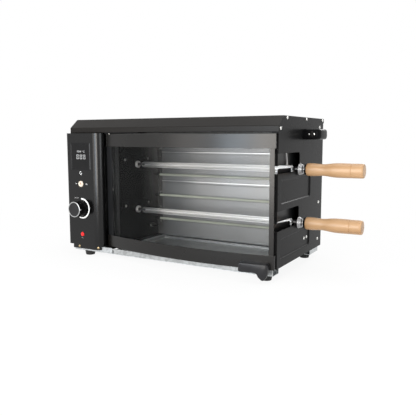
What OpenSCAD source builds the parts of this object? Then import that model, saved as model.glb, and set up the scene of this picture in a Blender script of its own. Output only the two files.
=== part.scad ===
// Countertop electric skewer grill: a sheet-metal oven with a bowed glass door,
// two motor-driven skewers, a control column, a slide-out drip tray and side grips.
// Working frame while drawing: X from the body's left edge, Y from its front plane
// towards the back, Z from the bottom edge of the side panels. home() then moves
// everything so that the origin is the middle of the object's box, on the table.

/* [Body] */
// Width of the body over its side panels
body_w = 533; // [500:1:600]
// Depth of the side panels
body_d = 272; // [262:1:320]
// Height from the side panels' bottom edge to the top of the cover
body_h = 298; // [294:1:330]
// Thickness of the painted sheet metal
sheet_t = 1.2; // [1:0.1:1.5]
// Depth of the sloping front edge of the cover
cover_chamfer_d = 24; // [16:1:32]
// Height of the sloping front edge of the cover
cover_chamfer_h = 20; // [14:1:21]
// Height of the upright lip below the slope
cover_lip_h = 11; // [8:1:12]
// How far the cover reaches past the side panels at the back
cover_rear_d = 4; // [3:0.5:8]
// Height of the cover's rear lip
cover_rear_h = 10; // [6:1:16]
// Width of the inward flanges of the side panels
panel_flange_d = 12; // [8:1:13]

/* [Base and feet] */
// Height of the galvanised base rails
base_h = 14; // [13:0.5:18]
// Distance from the body's sides to the ends of the base rails
base_inset = 9; // [6:1:12]
// How far the front rail stands in front of the body
front_rail_out = 5; // [3:0.5:6]
// Depth of the front rail
front_rail_d = 30; // [28:1:34]
// Depth of the rear rail
rear_rail_d = 55; // [45:1:58]
// Radius of a rubber foot at its top
foot_r = 12.5; // [10:0.5:13]
// Height of a rubber foot
foot_h = 11; // [8:1:16]
// Distance from the left side to the left feet
foot_left_x = 46; // [30:1:70]
// Distance from the right side to the right feet
foot_right_x = 25; // [23:1:60]

/* [Control column] */
// Width of the control panel
control_w = 99; // [96:1:100]
// How far the control panel stands in front of the body
control_out = 13; // [11:1:16]
// How far the control panel reaches below the side panels
control_drop = 8; // [6:0.5:11]
// Radius of the bend at the control panel's inner edge
control_bend_r = 10; // [6:1:11]
// Centre line of the controls, from the left side
controls_x = 41.5; // [38:0.5:46]
// Width of the display window
display_w = 51; // [40:1:56]
// Height of the display window
display_h = 62; // [50:1:66]
// Distance from the display window's upper edge to the panel's top
display_top_gap = 22.5; // [18:0.5:28]
// Place of the power button between the knob's centre and the window, as a share
button_share = 0.63; // [0.58:0.01:0.7]
// Radius of the power button
button_r = 7; // [5:0.5:8]
// Travel of the power button
button_travel = 2; // [1:0.5:3]
// Height of the temperature knob's centre
knob_z = 89; // [80:1:100]
// Radius of the temperature knob
knob_r = 17; // [14:0.5:20]
// Length of the temperature knob
knob_len = 26; // [18:1:30]
// Height of the indicator lamp's centre
lamp_z = 27; // [20:1:40]
// Radius of the indicator lamp
lamp_r = 4.5; // [3:0.5:6]

/* [Oven] */
// Distance from the control panel's inner side to the oven's left wall
oven_left_gap = 13; // [12:1:20]
// Gap between the oven's right wall and the right side panel
oven_right_gap = 13.6; // [13:0.2:20]
// Distance from the reflector to the side panels' rear edge
oven_back_gap = 73; // [66:1:78]
// Radius of a heating tube
heater_r = 3.25; // [2.5:0.25:4.5]
// Distance from the reflector to the heating tubes' centre line
heater_gap = 11; // [9:0.5:14]
// Height of the lowest heating tube
heater_low_z = 45; // [35:1:52]
// Height of the middle heating tube
heater_mid_z = 106.5; // [98:0.5:110]
// Height of the highest heating tube
heater_high_z = 160; // [154:1:168]

/* [Skewers] */
// Depth of the skewer axes as a share of the oven's depth
skewer_depth_share = 0.553; // [0.53:0.005:0.57]
// Height of the lower skewer's axis as a share of the lip's height
skewer_low_share = 0.29; // [0.28:0.005:0.3]
// Height of the upper skewer's axis as a share of the lip's height
skewer_high_share = 0.71; // [0.7:0.005:0.72]
// Half of the height of the V-shaped blade
blade_half = 6.3; // [5:0.1:6.3]
// Thickness of the blade's sheet
blade_t = 1.4; // [1:0.1:2]
// Radius of the skewer's rod next to the handle
rod_r = 2.5; // [2:0.1:3]
// Radius of the guard disc
guard_r = 12.5; // [10:0.5:14]
// Length of the wooden handle
grip_len = 119; // [90:1:140]
// Largest radius of the wooden handle
grip_r = 14.8; // [12:0.2:17]

/* [Door] */
// Height of the door's top and bottom rails
door_rail_h = 29; // [24:1:34]
// How far the door's front bows out between its ends
door_bow = 23; // [14:1:26]
// Width of the door's left stile
left_stile_w = 22; // [16:1:24]
// Width of the door's right stile
right_stile_w = 15; // [12:1:20]
// Thickness of the curved glass
glass_t = 4; // [3:0.5:4.5]
// Length of the door's grip
door_grip_w = 60; // [50:1:70]
// Height of the door's grip
door_grip_h = 19; // [16:1:22]
// How far the door's grip stands out
door_grip_d = 17; // [12:1:22]
// Width of the finger tab under the grip
door_tab_w = 22; // [18:1:26]
// How far the finger tab hangs below the grip
door_tab_drop = 14; // [8:1:15]

/* [Drip tray] */
// Gap between the tray's sides and its runners
tray_side_gap = 1; // [0.5:0.1:2]
// Gap between the drip tray's back edge and the rear rail
tray_back_gap = 9; // [4:1:30]

/* [Side grips] */
// Length of a side grip
side_grip_l = 70; // [60:1:100]
// How far a side grip stands out
side_grip_out = 36; // [30:1:45]
// Height of a side grip's bar
side_grip_h = 22; // [16:1:24]
// Thickness of a side grip's bar
side_grip_t = 14; // [10:1:14]
// Distance from the body's front plane to a side grip
side_grip_y = 131; // [120:1:160]
// Distance from the cover's lip down to a side grip's centre line
side_grip_drop = 5; // [2:1:16]

/* [Hidden] */

$fn = 48;
// Overrun of every cut
cut = 1;
// Gap between plain moving parts
run_gap = 0.3;
// Radial gap of a shaft in its bore
fit_gap = 0.05;
// Facets of the door's large arcs
arc_fn = 720;
// Facets inside hulls
hull_fn = 32;

// Profile of the cover
slope_len = sqrt(cover_chamfer_d * cover_chamfer_d + cover_chamfer_h * cover_chamfer_h);
lip_z = body_h - cover_chamfer_h - cover_lip_h;
slope_low_in = body_h - cover_chamfer_h - sheet_t * (slope_len - cover_chamfer_h) / cover_chamfer_d;
slope_top_in = cover_chamfer_d + sheet_t * (slope_len - cover_chamfer_d) / cover_chamfer_h;
under_top_z = body_h - sheet_t;
cover_return_d = 23;
cover_flange_h = 28;
cover_flange_foot = 30;

// Base, feet and the drip tray, which passes under the door's grip
door_grip_z = -4;
side_grip_z = lip_z - side_grip_drop;
floor_z = -(base_h + foot_h);
foot_tip_r = 10.5;
foot_seat = 3;
front_foot_y = front_rail_d / 2 - front_rail_out - 2 * sheet_t;
rear_rail_gap = 3;
rear_rail_y = body_d - rear_rail_gap - rear_rail_d;
rear_foot_gap = 4;
rear_foot_y = rear_rail_y + foot_r + rear_foot_gap;
oven_left_x = control_w + oven_left_gap;
hinge_x = oven_left_x;
hinge_y = 9.5;
hinge_block_w = 26;
rail_left_gap = 13;
rail_left_end = oven_left_x + rail_left_gap;
rail_right_len = 33;
rail_right_start = body_w - rail_right_len;
tray_d = rear_rail_y + front_rail_out - tray_back_gap;
tray_z = -base_h + sheet_t + run_gap;
tray_top_z = door_grip_z - 2 * run_gap;
tray_x0 = rail_left_end + sheet_t + tray_side_gap;
tray_x1 = rail_right_start - sheet_t - tray_side_gap;
tray_hem = 2.4;
runner_leg = 10;

// Oven walls
oven_right_x = body_w - sheet_t - oven_right_gap;
wall_t = 1.2;
ceiling_drop = 5;
ceiling_z = lip_z - ceiling_drop;
oven_d = body_d - oven_back_gap;
skewer_y = oven_d * skewer_depth_share;
oven_front_y = 20.8;
jamb_y = oven_front_y;
jamb_leg = 18;
foot_flange = 22;
bead_r = 3;
bead_gap = 46;
bead_pitch = 75;
bead_high_z = ceiling_z - bead_gap;
bead_low_z = bead_high_z - bead_pitch;
heater_y = oven_d - heater_gap;
heater_zs = [heater_low_z, heater_mid_z, heater_high_z];
heater_reach = 14;
heater_end_x = oven_left_x - heater_reach;
bracket_gap = 14;
bracket_x = oven_left_x + bracket_gap;
bracket_foot = 14;
bracket_z0 = heater_low_z - bracket_foot;
bracket_head = 8;
bracket_z1 = bead_high_z + bracket_head;
bracket_d = 18;
bracket_t = 1.2;
terminal_r = 1.6;
terminal_len = 9;
probe_gap = 27;
probe_y = oven_d - probe_gap;
probe_z = 28;
probe_r = 3;
probe_len = 18;
probe_plate = [1.5, 24, 11];

// Slots that the skewers lie in, open towards the door
skewer_zs = [lip_z * skewer_low_share, lip_z * skewer_high_share];
journal_r = 6.45;
seat_drop = journal_r + fit_gap;
seat_half = 8;
slot_sill = 3.5;
slot_top = 35.5;
slot_corner_r = 6;
inner_sill = 9;
inner_top = 24;
inner_step_gap = 40;
inner_step_y = skewer_y - inner_step_gap;
inner_step_top = 10;

// Stamped fields of the side panels
field_depth = 2.5;
field_y0 = 15;
field_back_gap = 82;
field_y1 = body_d - field_back_gap;
field_r = 8;
field_slope = 3;
field_over_slot = 12;
field_under_slot = 15.5;
field_foot = 15.7;
field_head = 19;
upper_field = [skewer_zs[0] + slot_top + field_over_slot, skewer_zs[1] - field_under_slot];
lower_field = [field_foot, skewer_zs[0] - field_head];

// Skewer drive and skewers along X
motor_offset = 12.5;
motor_case_r = 30;
motor_case_len = 21;
motor_can_r = 24;
motor_can_len = 24;
ear_half = 46;
ear_w = 12;
ear_t = 1.8;
socket_r = 8.5;
socket_len = 6;
socket_shaft_r = 6.5;
socket_shaft_len = 15;
bulkhead_hole_r = 7.5;
tang = 7;
tang_gap = 0.15;
tang_in = 11;
tang_x0 = oven_left_x - tang_in;
tang_out = 11;
blade_x0 = oven_left_x + socket_len + tang_out;
blade_back = 2.8;
rod_in = 52;
taper_in = 38;
taper_out = 14;
guard_in = 12;
guard_out = 1.5;
rod_x0 = body_w - rod_in;
taper_x0 = body_w - taper_in;
taper_x1 = body_w - taper_out;
guard_cone_len = 7;
guard_x0 = body_w - guard_in;
guard_disc_t = 3;
guard_disc_x = body_w + guard_out;
collar_r = 6.8;
collar_len = 6.5;
collar_groove = 0.8;
collar_grooves = 2;
ferrule_gap = 3;
ferrule_x = guard_disc_x + guard_disc_t + collar_len + ferrule_gap;
ferrule_r = 11.5;
ferrule_t = 3;
grip_x = ferrule_x + ferrule_t;
grip_x1 = grip_x + grip_len;
rod_in_grip = 35;
grip_groove_share = 0.79;
grip_groove_w = 1.2;
grip_groove_d = 0.5;
// Radius of the turned handle along its length, as shares of length and radius
grip_shares = [
    [0, 0.8], [0.02, 0.87], [0.1, 0.89], [0.2, 0.84], [0.29, 0.8], [0.38, 0.86], [0.48, 0.96],
    [0.58, 1], [0.7, 1], [0.85, 0.985], [0.97, 0.98], [0.99, 0.95], [1, 0.88]
];

// Door arc in plan: it runs from the hinge end to the free end and bows forward
door_left_gap = 4;
door_right_gap = 2;
door_x0 = control_w + door_left_gap;
door_x1 = body_w - door_right_gap;
door_y0 = 6;
door_y1 = -11;
door_chord = sqrt((door_x1 - door_x0) * (door_x1 - door_x0) + (door_y1 - door_y0) * (door_y1 - door_y0));
door_r = door_chord * door_chord / (8 * door_bow) + door_bow / 2;
door_reach = (door_r - door_bow) / door_chord;
door_cx = (door_x0 + door_x1) / 2 + (door_y0 - door_y1) * door_reach;
door_cy = (door_y0 + door_y1) / 2 + (door_x1 - door_x0) * door_reach;
door_z0 = 0;
door_top_gap = 3;
door_z1 = lip_z - door_top_gap;
door_flange_d = 9.5;
door_end_d = 6.5;
stile_gap = 0.05;
stile_out_r = door_r - sheet_t - stile_gap;
glass_out_r = stile_out_r - sheet_t - stile_gap;
glass_in_r = glass_out_r - glass_t;
retainer_out_r = glass_in_r - stile_gap;
glass_margin = 9;
glass_end_gap = 3;
retainer_h = 20;
retainer_gap = 18;
retainer_x0 = door_x0 + retainer_gap;
pin_r = 3;
pin_head_r = 4;
pin_head_h = 2.5;
hinge_plate_t = 2.5;
hinge_plate_w = 96;
door_screw_z = 4.5;

// Door grip along the door's arc
door_grip_gap = 39;
door_grip_x = body_w - door_grip_gap;
door_grip_round = 5;
door_tab_t = 8;
door_tab_inset = 1;

// Control panel fittings
panel_y = -control_out;
panel_in_y = panel_y + sheet_t;
panel_top_gap = 1.5;
panel_top_z = lip_z - panel_top_gap;
display_z = panel_top_z - display_top_gap - display_h;
button_z = knob_z + button_share * (display_z - knob_z);
notch_w = 12;
notch_z = 1;
window_t = 1.2;
window_rim = 3;
window_rim_t = 1.5;
board_t = 1.6;
board_gap = 2.5;
board_margin = 8;
stud_r = 2.5;
stud_share = 0.85;
shaft_r = 3;
bush_r = 4.5;
control_body = [20, 9, 20];
knob_gap = 0.6;
knob_taper = 1;
knob_front_r = knob_r - knob_taper;
knob_bore_depth = 14;
knob_skirt_h = 4;
knob_skirt_t = 1;
knob_wall = 2.4;
knob_ring_t = 1.6;
knob_ring_w = 2;
button_out = 2.5;
button_len = 6.5;
button_edge = 1;
stem_r = 2.4;
stem_len = 8;
switch_body = [18, 14, 18];
bezel_t = 1;
bezel_w = 2.2;
lamp_out = 1.6;
lamp_dome = 1.2;
lamp_body_r = 3.4;
lamp_len = 16;

// Power board and inlet
board_x = 8;
board_y0 = 60;
board_size = [board_t, 110, 130];
board_z0 = 70;
board_stud_r = 4;
board_stud_shares = [0.08, 0.92];
transformer_low = [12, 20];
transformer_size = [24, 36, 30];
relay_low = [60, 22];
relay_size = [16, 20, 28];
heatsink_low = [14, 74];
heatsink_size = [14, 48, 16];
capacitor_spot = [84, 88];
capacitor_len = 22;
capacitor_r = 9;
inlet_x = 52;
inlet_z = 46;
inlet_flange = [50, 24];
inlet_flange_t = 2.5;
inlet_body = [27, 19.5];
inlet_body_d = 22;
inlet_well = [22, 14.5];
inlet_well_d = 16;
inlet_pin = [2, 4];
inlet_pin_len = 12;
inlet_pin_pitch = 7;
inlet_pin_rise = 3.5;
inlet_screw_half = 20;
vent_w = 3;
vent_h = 36;
vent_pitch = 9;
vent_count = 7;
vent_x0 = 26;
vent_zs = [130, 200];

// Screws
screw_r = 1.9;
screw_hole_r = 2;
screw_head_r = 3.4;
screw_head_h = 1.6;
screw_len = 3.2;

// Places of the screws on a side panel, as depth and height
cover_screw_drop = 4.2;
cover_screw_ys = [42.7, 154.6];
cover_front_screw = [9.6, 6];
cover_rear_screw = [27, 20];
cover_rear_gap = 7;
side_high_screw = [25, 106];
side_low_screw = [27, 20];
field_screw_gaps = [31, 15];
field_screw_zs = [35, 35.6];
cover_screw_spots = [
    [cover_screw_ys[0], body_h - cover_screw_drop], [cover_screw_ys[1], body_h - cover_screw_drop],
    [body_d - cover_rear_gap, body_h - cover_screw_drop], [cover_front_screw[0], lip_z + cover_front_screw[1]],
    [body_d - cover_rear_screw[0], body_h - cover_rear_screw[1]]
];
side_screw_spots = [
    [body_d - side_high_screw[0], side_high_screw[1]], [body_d - side_low_screw[0], side_low_screw[1]]
];
field_screw_spots = [for (i = [0, 1]) [field_y1 - field_screw_gaps[i], field_screw_zs[i]]];
control_screw_x = 31;
control_screw_gap = 11;
control_screw_xs = [control_screw_x, control_w - control_screw_gap];
control_screw_z = -2.5;

// The object's whole box
door_grip_a = asin((door_grip_x - door_cx) / door_r);
door_grip_reach = door_r + door_grip_d - door_grip_round;
door_grip_end = door_grip_w / 2 - door_grip_round;
door_grip_y = door_cy - door_grip_reach * cos(door_grip_a) - door_grip_end * sin(door_grip_a) - door_grip_round;
box_x0 = -side_grip_out;
box_x1 = grip_x1;
box_y0 = min(panel_y - knob_gap - knob_len, door_grip_y);
box_y1 = body_d + cover_rear_d;

// Moves the drawn object so that its box stands centred on the origin
module home() {
    translate([-(box_x0 + box_x1) / 2, -(box_y0 + box_y1) / 2, -floor_z]) children();
}

// A block between two opposite corners
module block(low, high) {
    translate(low) cube(high - low);
}

// A flat shape in depth and height, thickened along X
module slab_x(x0, len) {
    translate([x0, 0, 0]) rotate([90, 0, 90]) linear_extrude(len) children();
}

// A flat shape in width and height, thickened along Y
module slab_y(y0, len) {
    translate([0, y0 + len, 0]) rotate([90, 0, 0]) linear_extrude(len) children();
}

// Round bars along each axis
module bar_x(x0, len, y, z, r) {
    translate([x0, y, z]) rotate([0, 90, 0]) cylinder(h = len, r = r);
}
module bar_y(y0, len, x, z, r) {
    translate([x, y0, z]) rotate([-90, 0, 0]) cylinder(h = len, r = r);
}
module bar_z(z0, len, x, y, r) {
    translate([x, y, z0]) cylinder(h = len, r = r);
}

// A rectangle with round corners between two opposite corners
module soft_rect(low, high, r) {
    size = high - low;
    translate([low.x + r, low.y]) square([size.x - 2 * r, size.y]);
    translate([low.x, low.y + r]) square([size.x, size.y - 2 * r]);
    for (x = [low.x + r, high.x - r], y = [low.y + r, high.y - r]) translate([x, y]) circle(r = r);
}

// A pan-head screw whose head seats at the origin and whose shank runs to -Z
module screw(len) {
    rotate_extrude() polygon([
        [0, -len], [screw_r, -len], [screw_r, 0], [screw_head_r, 0], [screw_head_r, screw_head_h / 2],
        [screw_head_r * 0.7, screw_head_h], [0, screw_head_h]
    ]);
}

// The cover: one bent sheet, with end flanges inside the side panels
module top_cover() {
    outer_back = body_d + cover_rear_d;
    skin_mid = sheet_t / 2;
    color("#2b2a29") home() difference() {
        union() {
            slab_x(0, body_w) polygon([
                [0, lip_z], [0, body_h - cover_chamfer_h], [cover_chamfer_d, body_h],
                [outer_back, body_h], [outer_back, body_h - cover_rear_h],
                [outer_back - sheet_t, body_h - cover_rear_h], [outer_back - sheet_t, under_top_z],
                [slope_top_in, under_top_z], [sheet_t, slope_low_in], [sheet_t, lip_z]
            ]);
            block([sheet_t, 0, lip_z], [body_w - sheet_t, cover_return_d, lip_z + sheet_t]);
            for (x = [sheet_t, body_w - 2 * sheet_t]) slab_x(x, sheet_t) polygon([
                [skin_mid, lip_z + skin_mid], [skin_mid, (body_h - cover_chamfer_h + slope_low_in) / 2],
                [(cover_chamfer_d + slope_top_in) / 2, body_h - skin_mid], [body_d - 3 * sheet_t, body_h - skin_mid],
                [body_d - 3 * sheet_t, under_top_z - cover_flange_h],
                [cover_flange_foot, under_top_z - cover_flange_h], [cover_return_d, lip_z + skin_mid]
            ]);
        }
        side_holes(cover_screw_spots);
    }
}

// Screw holes through both side panels and what lies behind them
module side_holes(spots) {
    for (spot = spots, x = [-cut, body_w - 3 * sheet_t])
        bar_x(x, 3 * sheet_t + cut, spot[0], spot[1], screw_hole_r);
}

// Outline of a side panel, under the cover's skin
module side_outline() {
    polygon([
        [0, 0], [body_d, 0], [body_d, under_top_z], [slope_top_in, under_top_z],
        [sheet_t, slope_low_in], [sheet_t, lip_z], [0, lip_z]
    ]);
}

// Flanges of the left side panel: front, bottom and rear
module side_flanges() {
    block([0, 0, 0], [sheet_t + panel_flange_d, sheet_t, lip_z]);
    block([0, 0, 0], [sheet_t + panel_flange_d, body_d - sheet_t, sheet_t]);
    block([0, body_d - 2 * sheet_t, 0],
        [sheet_t + panel_flange_d, body_d - sheet_t, under_top_z - cover_flange_h - run_gap]);
}

// The pressed field's outline, drawn back by its slope at the bottom
module field_block(zs, grow, depth, lift) {
    hull() {
        slab_x(lift, sheet_t / 8)
            soft_rect([field_y0 - grow, zs[0] - grow], [field_y1 + grow, zs[1] + grow], field_r, $fn = hull_fn);
        slab_x(lift + depth - sheet_t / 8, sheet_t / 8)
            soft_rect([field_y0 - grow + field_slope, zs[0] - grow + field_slope],
                [field_y1 + grow - field_slope, zs[1] + grow - field_slope], field_r, $fn = hull_fn);
    }
}

// A left side panel with its pressed fields and slots
module side_panel() {
    difference() {
        union() {
            slab_x(0, sheet_t) side_outline();
            side_flanges();
            for (zs = [upper_field, lower_field]) field_block(zs, sheet_t, field_depth + sheet_t, 0);
        }
        for (zs = [upper_field, lower_field])
            translate([-sheet_t / 8, 0, 0]) field_block(zs, 0, field_depth + sheet_t / 8, 0);
        side_holes(concat(cover_screw_spots, side_screw_spots));
        for (spot = field_screw_spots)
            bar_x(field_depth - cut, sheet_t + 2 * cut, spot[0], spot[1], screw_hole_r);
    }
}

module left_side_panel() {
    color("#353433") home() side_panel();
}

// The right panel is the left one mirrored, with the skewer slots
module right_side_panel() {
    color("#353433") home() difference() {
        translate([body_w, 0, 0]) mirror([1, 0, 0]) side_panel();
        for (z = skewer_zs) skewer_slot(z);
    }
}

// Slot in the right side panel: open at the front, with a seat at its far end
module skewer_slot(z) {
    x0 = body_w - sheet_t - panel_flange_d - cut;
    slot_end = skewer_y + seat_half;
    slab_x(x0, panel_flange_d + sheet_t + 2 * cut) {
        difference() {
            translate([-cut, z - slot_sill]) square([slot_end + cut, slot_top + slot_sill]);
            difference() {
                translate([slot_end - slot_corner_r, z + slot_top - slot_corner_r])
                    square([slot_corner_r + cut, slot_corner_r + cut]);
                translate([slot_end - slot_corner_r, z + slot_top - slot_corner_r]) circle(r = slot_corner_r);
            }
        }
        translate([skewer_y - seat_half, z - seat_drop]) square([2 * seat_half, seat_drop]);
    }
}

module back_panel() {
    color("#2f2e2d") home() difference() {
        block([sheet_t, body_d - sheet_t, 0], [body_w - sheet_t, body_d, under_top_z]);
        for (z = vent_zs, i = [0 : vent_count - 1])
            slab_y(body_d - sheet_t - cut, sheet_t + 2 * cut)
                soft_rect([vent_x0 + i * vent_pitch, z], [vent_x0 + i * vent_pitch + vent_w, z + vent_h], vent_w / 2.01);
        block([inlet_x - inlet_body.x / 2 - run_gap, body_d - sheet_t - cut, inlet_z - inlet_body.y / 2 - run_gap],
            [inlet_x + inlet_body.x / 2 + run_gap, body_d + cut, inlet_z + inlet_body.y / 2 + run_gap]);
        for (s = [-1, 1])
            bar_y(body_d - sheet_t - cut, sheet_t + 2 * cut, inlet_x + s * inlet_screw_half, inlet_z, screw_hole_r);
    }
}

// Front rail: a bottom flange all along, and boxed ends beside the drip tray
module front_base_rail() {
    y0 = -front_rail_out;
    y1 = y0 + front_rail_d;
    x0 = base_inset;
    x1 = body_w - base_inset / 1.5;
    color("#b9bdbd") home() difference() {
        union() {
            block([x0, y0, -base_h], [x1, y1, -base_h + sheet_t]);
            block([x0, y0, -base_h], [rail_left_end, y0 + sheet_t, -run_gap]);
            block([rail_right_start, y0, -base_h], [x1, y0 + sheet_t, -run_gap]);
            block([x0, y0 + sheet_t / 2, -sheet_t - run_gap],
                [rail_left_end - hinge_block_w - run_gap, sheet_t, -run_gap]);
            block([rail_right_start, y0 + sheet_t / 2, -sheet_t - run_gap], [x1, sheet_t, -run_gap]);
            block([x0, 0, -sheet_t - run_gap], [rail_left_end - hinge_block_w - run_gap, y1, 0]);
            block([rail_right_start, 0, -sheet_t - run_gap], [x1, y1, 0]);
            block([x0, y1 - sheet_t, -base_h], [rail_left_end - hinge_block_w - run_gap, y1, 0]);
            block([rail_right_start, y1 - sheet_t, -base_h], [x1, y1, 0]);
        }
        for (x = control_screw_xs) bar_y(y0 - cut, sheet_t + 2 * cut, x, control_screw_z, screw_hole_r);
        for (x = [foot_left_x, body_w - foot_right_x])
            bar_z(-base_h - cut, sheet_t + 2 * cut, x, front_foot_y, foot_seat);
    }
}

// Rear rail: a channel that opens towards the tray
module rear_base_rail() {
    y1 = rear_rail_y + rear_rail_d;
    x1 = body_w - base_inset / 1.5;
    color("#b9bdbd") home() difference() {
        union() {
            block([base_inset, rear_rail_y, -base_h], [x1, y1, -base_h + sheet_t]);
            block([base_inset, rear_rail_y, -sheet_t], [x1, y1, 0]);
            block([base_inset, y1 - sheet_t, -base_h], [x1, y1, 0]);
        }
        for (x = [foot_left_x, body_w - foot_right_x])
            bar_z(-base_h - cut, sheet_t + 2 * cut, x, rear_foot_y, foot_seat);
    }
}

// Angle runners between the rails: the tray slides on their feet
module tray_runners() {
    y0 = front_rail_d - front_rail_out;
    color("#aeb2b2") home() {
        block([rail_left_end, y0, -base_h], [rail_left_end + runner_leg, rear_rail_y, -base_h + sheet_t]);
        block([rail_left_end, y0, -base_h], [rail_left_end + sheet_t, rear_rail_y, 0]);
        block([rail_right_start - runner_leg, y0, -base_h], [rail_right_start, rear_rail_y, -base_h + sheet_t]);
        block([rail_right_start - sheet_t, y0, -base_h], [rail_right_start, rear_rail_y, 0]);
    }
}

// Folded tray with a hemmed rim and a rolled front
module drip_tray() {
    y0 = -front_rail_out;
    y1 = y0 + tray_d;
    rim = tray_hem / 2;
    color("#c3c7c7") home() difference() {
        union() {
            block([tray_x0, y0, tray_z], [tray_x1, y1, tray_top_z]);
            bar_x(tray_x0, tray_x1 - tray_x0, y0 + rim, tray_top_z - rim + run_gap, rim);
        }
        block([tray_x0 + sheet_t, y0 + 2 * sheet_t, tray_z + sheet_t], [tray_x1 - sheet_t, y1 - sheet_t, cut]);
    }
}

// Four rubber feet, each with a plug in its rail
module feet() {
    color("#1c1c1c") home()
        for (x = [foot_left_x, body_w - foot_right_x], y = [front_foot_y, rear_foot_y]) {
            translate([x, y, floor_z]) cylinder(h = foot_h, r1 = foot_tip_r, r2 = foot_r);
            bar_z(-base_h - foot_seat, foot_seat + sheet_t, x, y, foot_seat - fit_gap);
        }
}

// Wall between the electronics and the oven
module left_bulkhead() {
    x1 = oven_left_x;
    x0 = x1 - wall_t;
    y1 = body_d - 2 * sheet_t;
    color("#1f1f1f") home() difference() {
        union() {
            block([x0, jamb_y + sheet_t, 0], [x1, y1, ceiling_z]);
            block([x1 - foot_flange, front_rail_d - front_rail_out - sheet_t, 0], [x1, y1, sheet_t]);
            block([x1 - foot_flange, jamb_y + sheet_t, ceiling_z - sheet_t], [x1, y1, ceiling_z]);
        }
        for (z = skewer_zs) {
            bar_x(x0 - cut, wall_t + 2 * cut, skewer_y, z, bulkhead_hole_r);
            for (s = [-1, 1])
                bar_x(x0 - cut, wall_t + 2 * cut, skewer_y + s * ear_half, z + motor_offset, screw_hole_r);
        }
        for (z = heater_zs) bar_x(x0 - cut, wall_t + 2 * cut, heater_y, z, heater_r + fit_gap);
        bar_x(x0 - cut, wall_t + 2 * cut, probe_y, probe_z, probe_r + fit_gap);
    }
}

// Angle that closes the gap between the control panel's side and the bulkhead
module left_jamb() {
    color("#262626") home() {
        block([control_w - panel_flange_d, jamb_y, run_gap],
            [oven_left_x + sheet_t, jamb_y + sheet_t, ceiling_z - run_gap]);
        block([oven_left_x, jamb_y, run_gap], [oven_left_x + sheet_t, jamb_y + jamb_leg, ceiling_z - run_gap]);
    }
}

// Oven's right wall, with slots that let a blade through
module right_inner_wall() {
    x0 = oven_right_x;
    y0 = sheet_t + run_gap;
    color("#242424") home() difference() {
        union() {
            block([x0, y0, sheet_t], [x0 + wall_t, oven_d, ceiling_z]);
            block([x0, y0, sheet_t], [body_w - sheet_t - run_gap, y0 + sheet_t, ceiling_z]);
            block([x0, y0, sheet_t], [body_w - sheet_t - field_depth - 3 * run_gap, oven_d, 2 * sheet_t]);
            block([x0, y0, ceiling_z - sheet_t], [x0 + panel_flange_d, oven_d, ceiling_z]);
        }
        for (z = skewer_zs) slab_x(x0 - cut, oven_right_gap + wall_t + 2 * cut) {
            translate([0, z - inner_sill]) square([skewer_y + 2 * seat_half, inner_sill + inner_step_top]);
            translate([0, z - inner_sill]) square([inner_step_y, inner_sill + inner_top]);
        }
    }
}

// Stainless back of the oven with two stiffening beads
module back_reflector() {
    color("#a9abab") home() {
        block([oven_left_x, oven_d, 0], [oven_right_x + wall_t, oven_d + wall_t, ceiling_z]);
        block([oven_left_x, oven_d, 0], [oven_right_x - 2 * run_gap, rear_rail_y + 2 * panel_flange_d, sheet_t]);
        for (z = [bead_low_z, bead_high_z]) difference() {
            bar_x(oven_left_x, oven_right_x - oven_left_x, oven_d, z, bead_r);
            block([oven_left_x - cut, oven_d + wall_t / 2, z - 2 * bead_r],
                [oven_right_x + cut, oven_d + 2 * bead_r, z + 2 * bead_r]);
        }
    }
}

module ceiling() {
    x0 = control_w + run_gap;
    color("#8e9090") home() {
        block([x0, oven_front_y, ceiling_z], [oven_right_x + panel_flange_d, oven_d + panel_flange_d, ceiling_z + sheet_t]);
        block([x0, oven_front_y, ceiling_z], [oven_right_x + panel_flange_d, oven_front_y + sheet_t, lip_z]);
    }
}

// A heating tube with a terminal pin, from the bulkhead to the right bracket
module heater_tube(z) {
    x1 = oven_right_x - (bracket_x - oven_left_x) + bracket_t / 2 + terminal_len / 2;
    color("#7c8078") home() {
        bar_x(heater_end_x, x1 - heater_end_x, heater_y, z, heater_r);
        bar_x(heater_end_x - terminal_len, 2 * terminal_len, heater_y, z, terminal_r);
    }
}

// Two upright strips that hold the heating tubes off the reflector
module heater_brackets() {
    xs = [bracket_x, oven_right_x - (bracket_x - oven_left_x)];
    color("#9b9d9d") home() for (x = xs) difference() {
        block([x - bracket_t / 2, oven_d - bracket_d, bracket_z0], [x + bracket_t / 2, oven_d, bracket_z1]);
        for (z = heater_zs) bar_x(x - bracket_t, 2 * bracket_t, heater_y, z, heater_r + fit_gap);
        for (z = [bead_low_z, bead_high_z]) bar_x(x - bracket_t, 2 * bracket_t, oven_d, z, bead_r + fit_gap);
    }
}

module temperature_probe() {
    color("#b5b5b0") home() {
        translate([oven_left_x, probe_y - probe_plate.y / 2, probe_z - probe_plate.z / 2]) cube(probe_plate);
        bar_x(oven_left_x - probe_len / 2, probe_len * 1.5, probe_y, probe_z, probe_r);
    }
}

// Geared motor: its output bore lies below the middle of its round case
module gear_motor(z) {
    zc = z + motor_offset;
    x1 = oven_left_x - wall_t;
    ear_x = x1 - ear_t;
    case_x = ear_x - motor_case_len;
    color("#8a8d90") home() difference() {
        union() {
            bar_x(case_x, motor_case_len + ear_t, skewer_y, zc, motor_case_r);
            bar_x(case_x - motor_can_len, motor_can_len + ear_t, skewer_y, zc, motor_can_r);
            slab_x(ear_x, ear_t)
                soft_rect([skewer_y - ear_half - ear_w / 2, zc - ear_w / 2],
                    [skewer_y + ear_half + ear_w / 2, zc + ear_w / 2], ear_w / 2.01);
        }
        bar_x(x1 - socket_shaft_len, socket_shaft_len + cut, skewer_y, z, socket_shaft_r + fit_gap);
        for (s = [-1, 1]) bar_x(ear_x - cut, ear_t + 2 * cut, skewer_y + s * ear_half, zc, screw_hole_r);
    }
}

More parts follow.
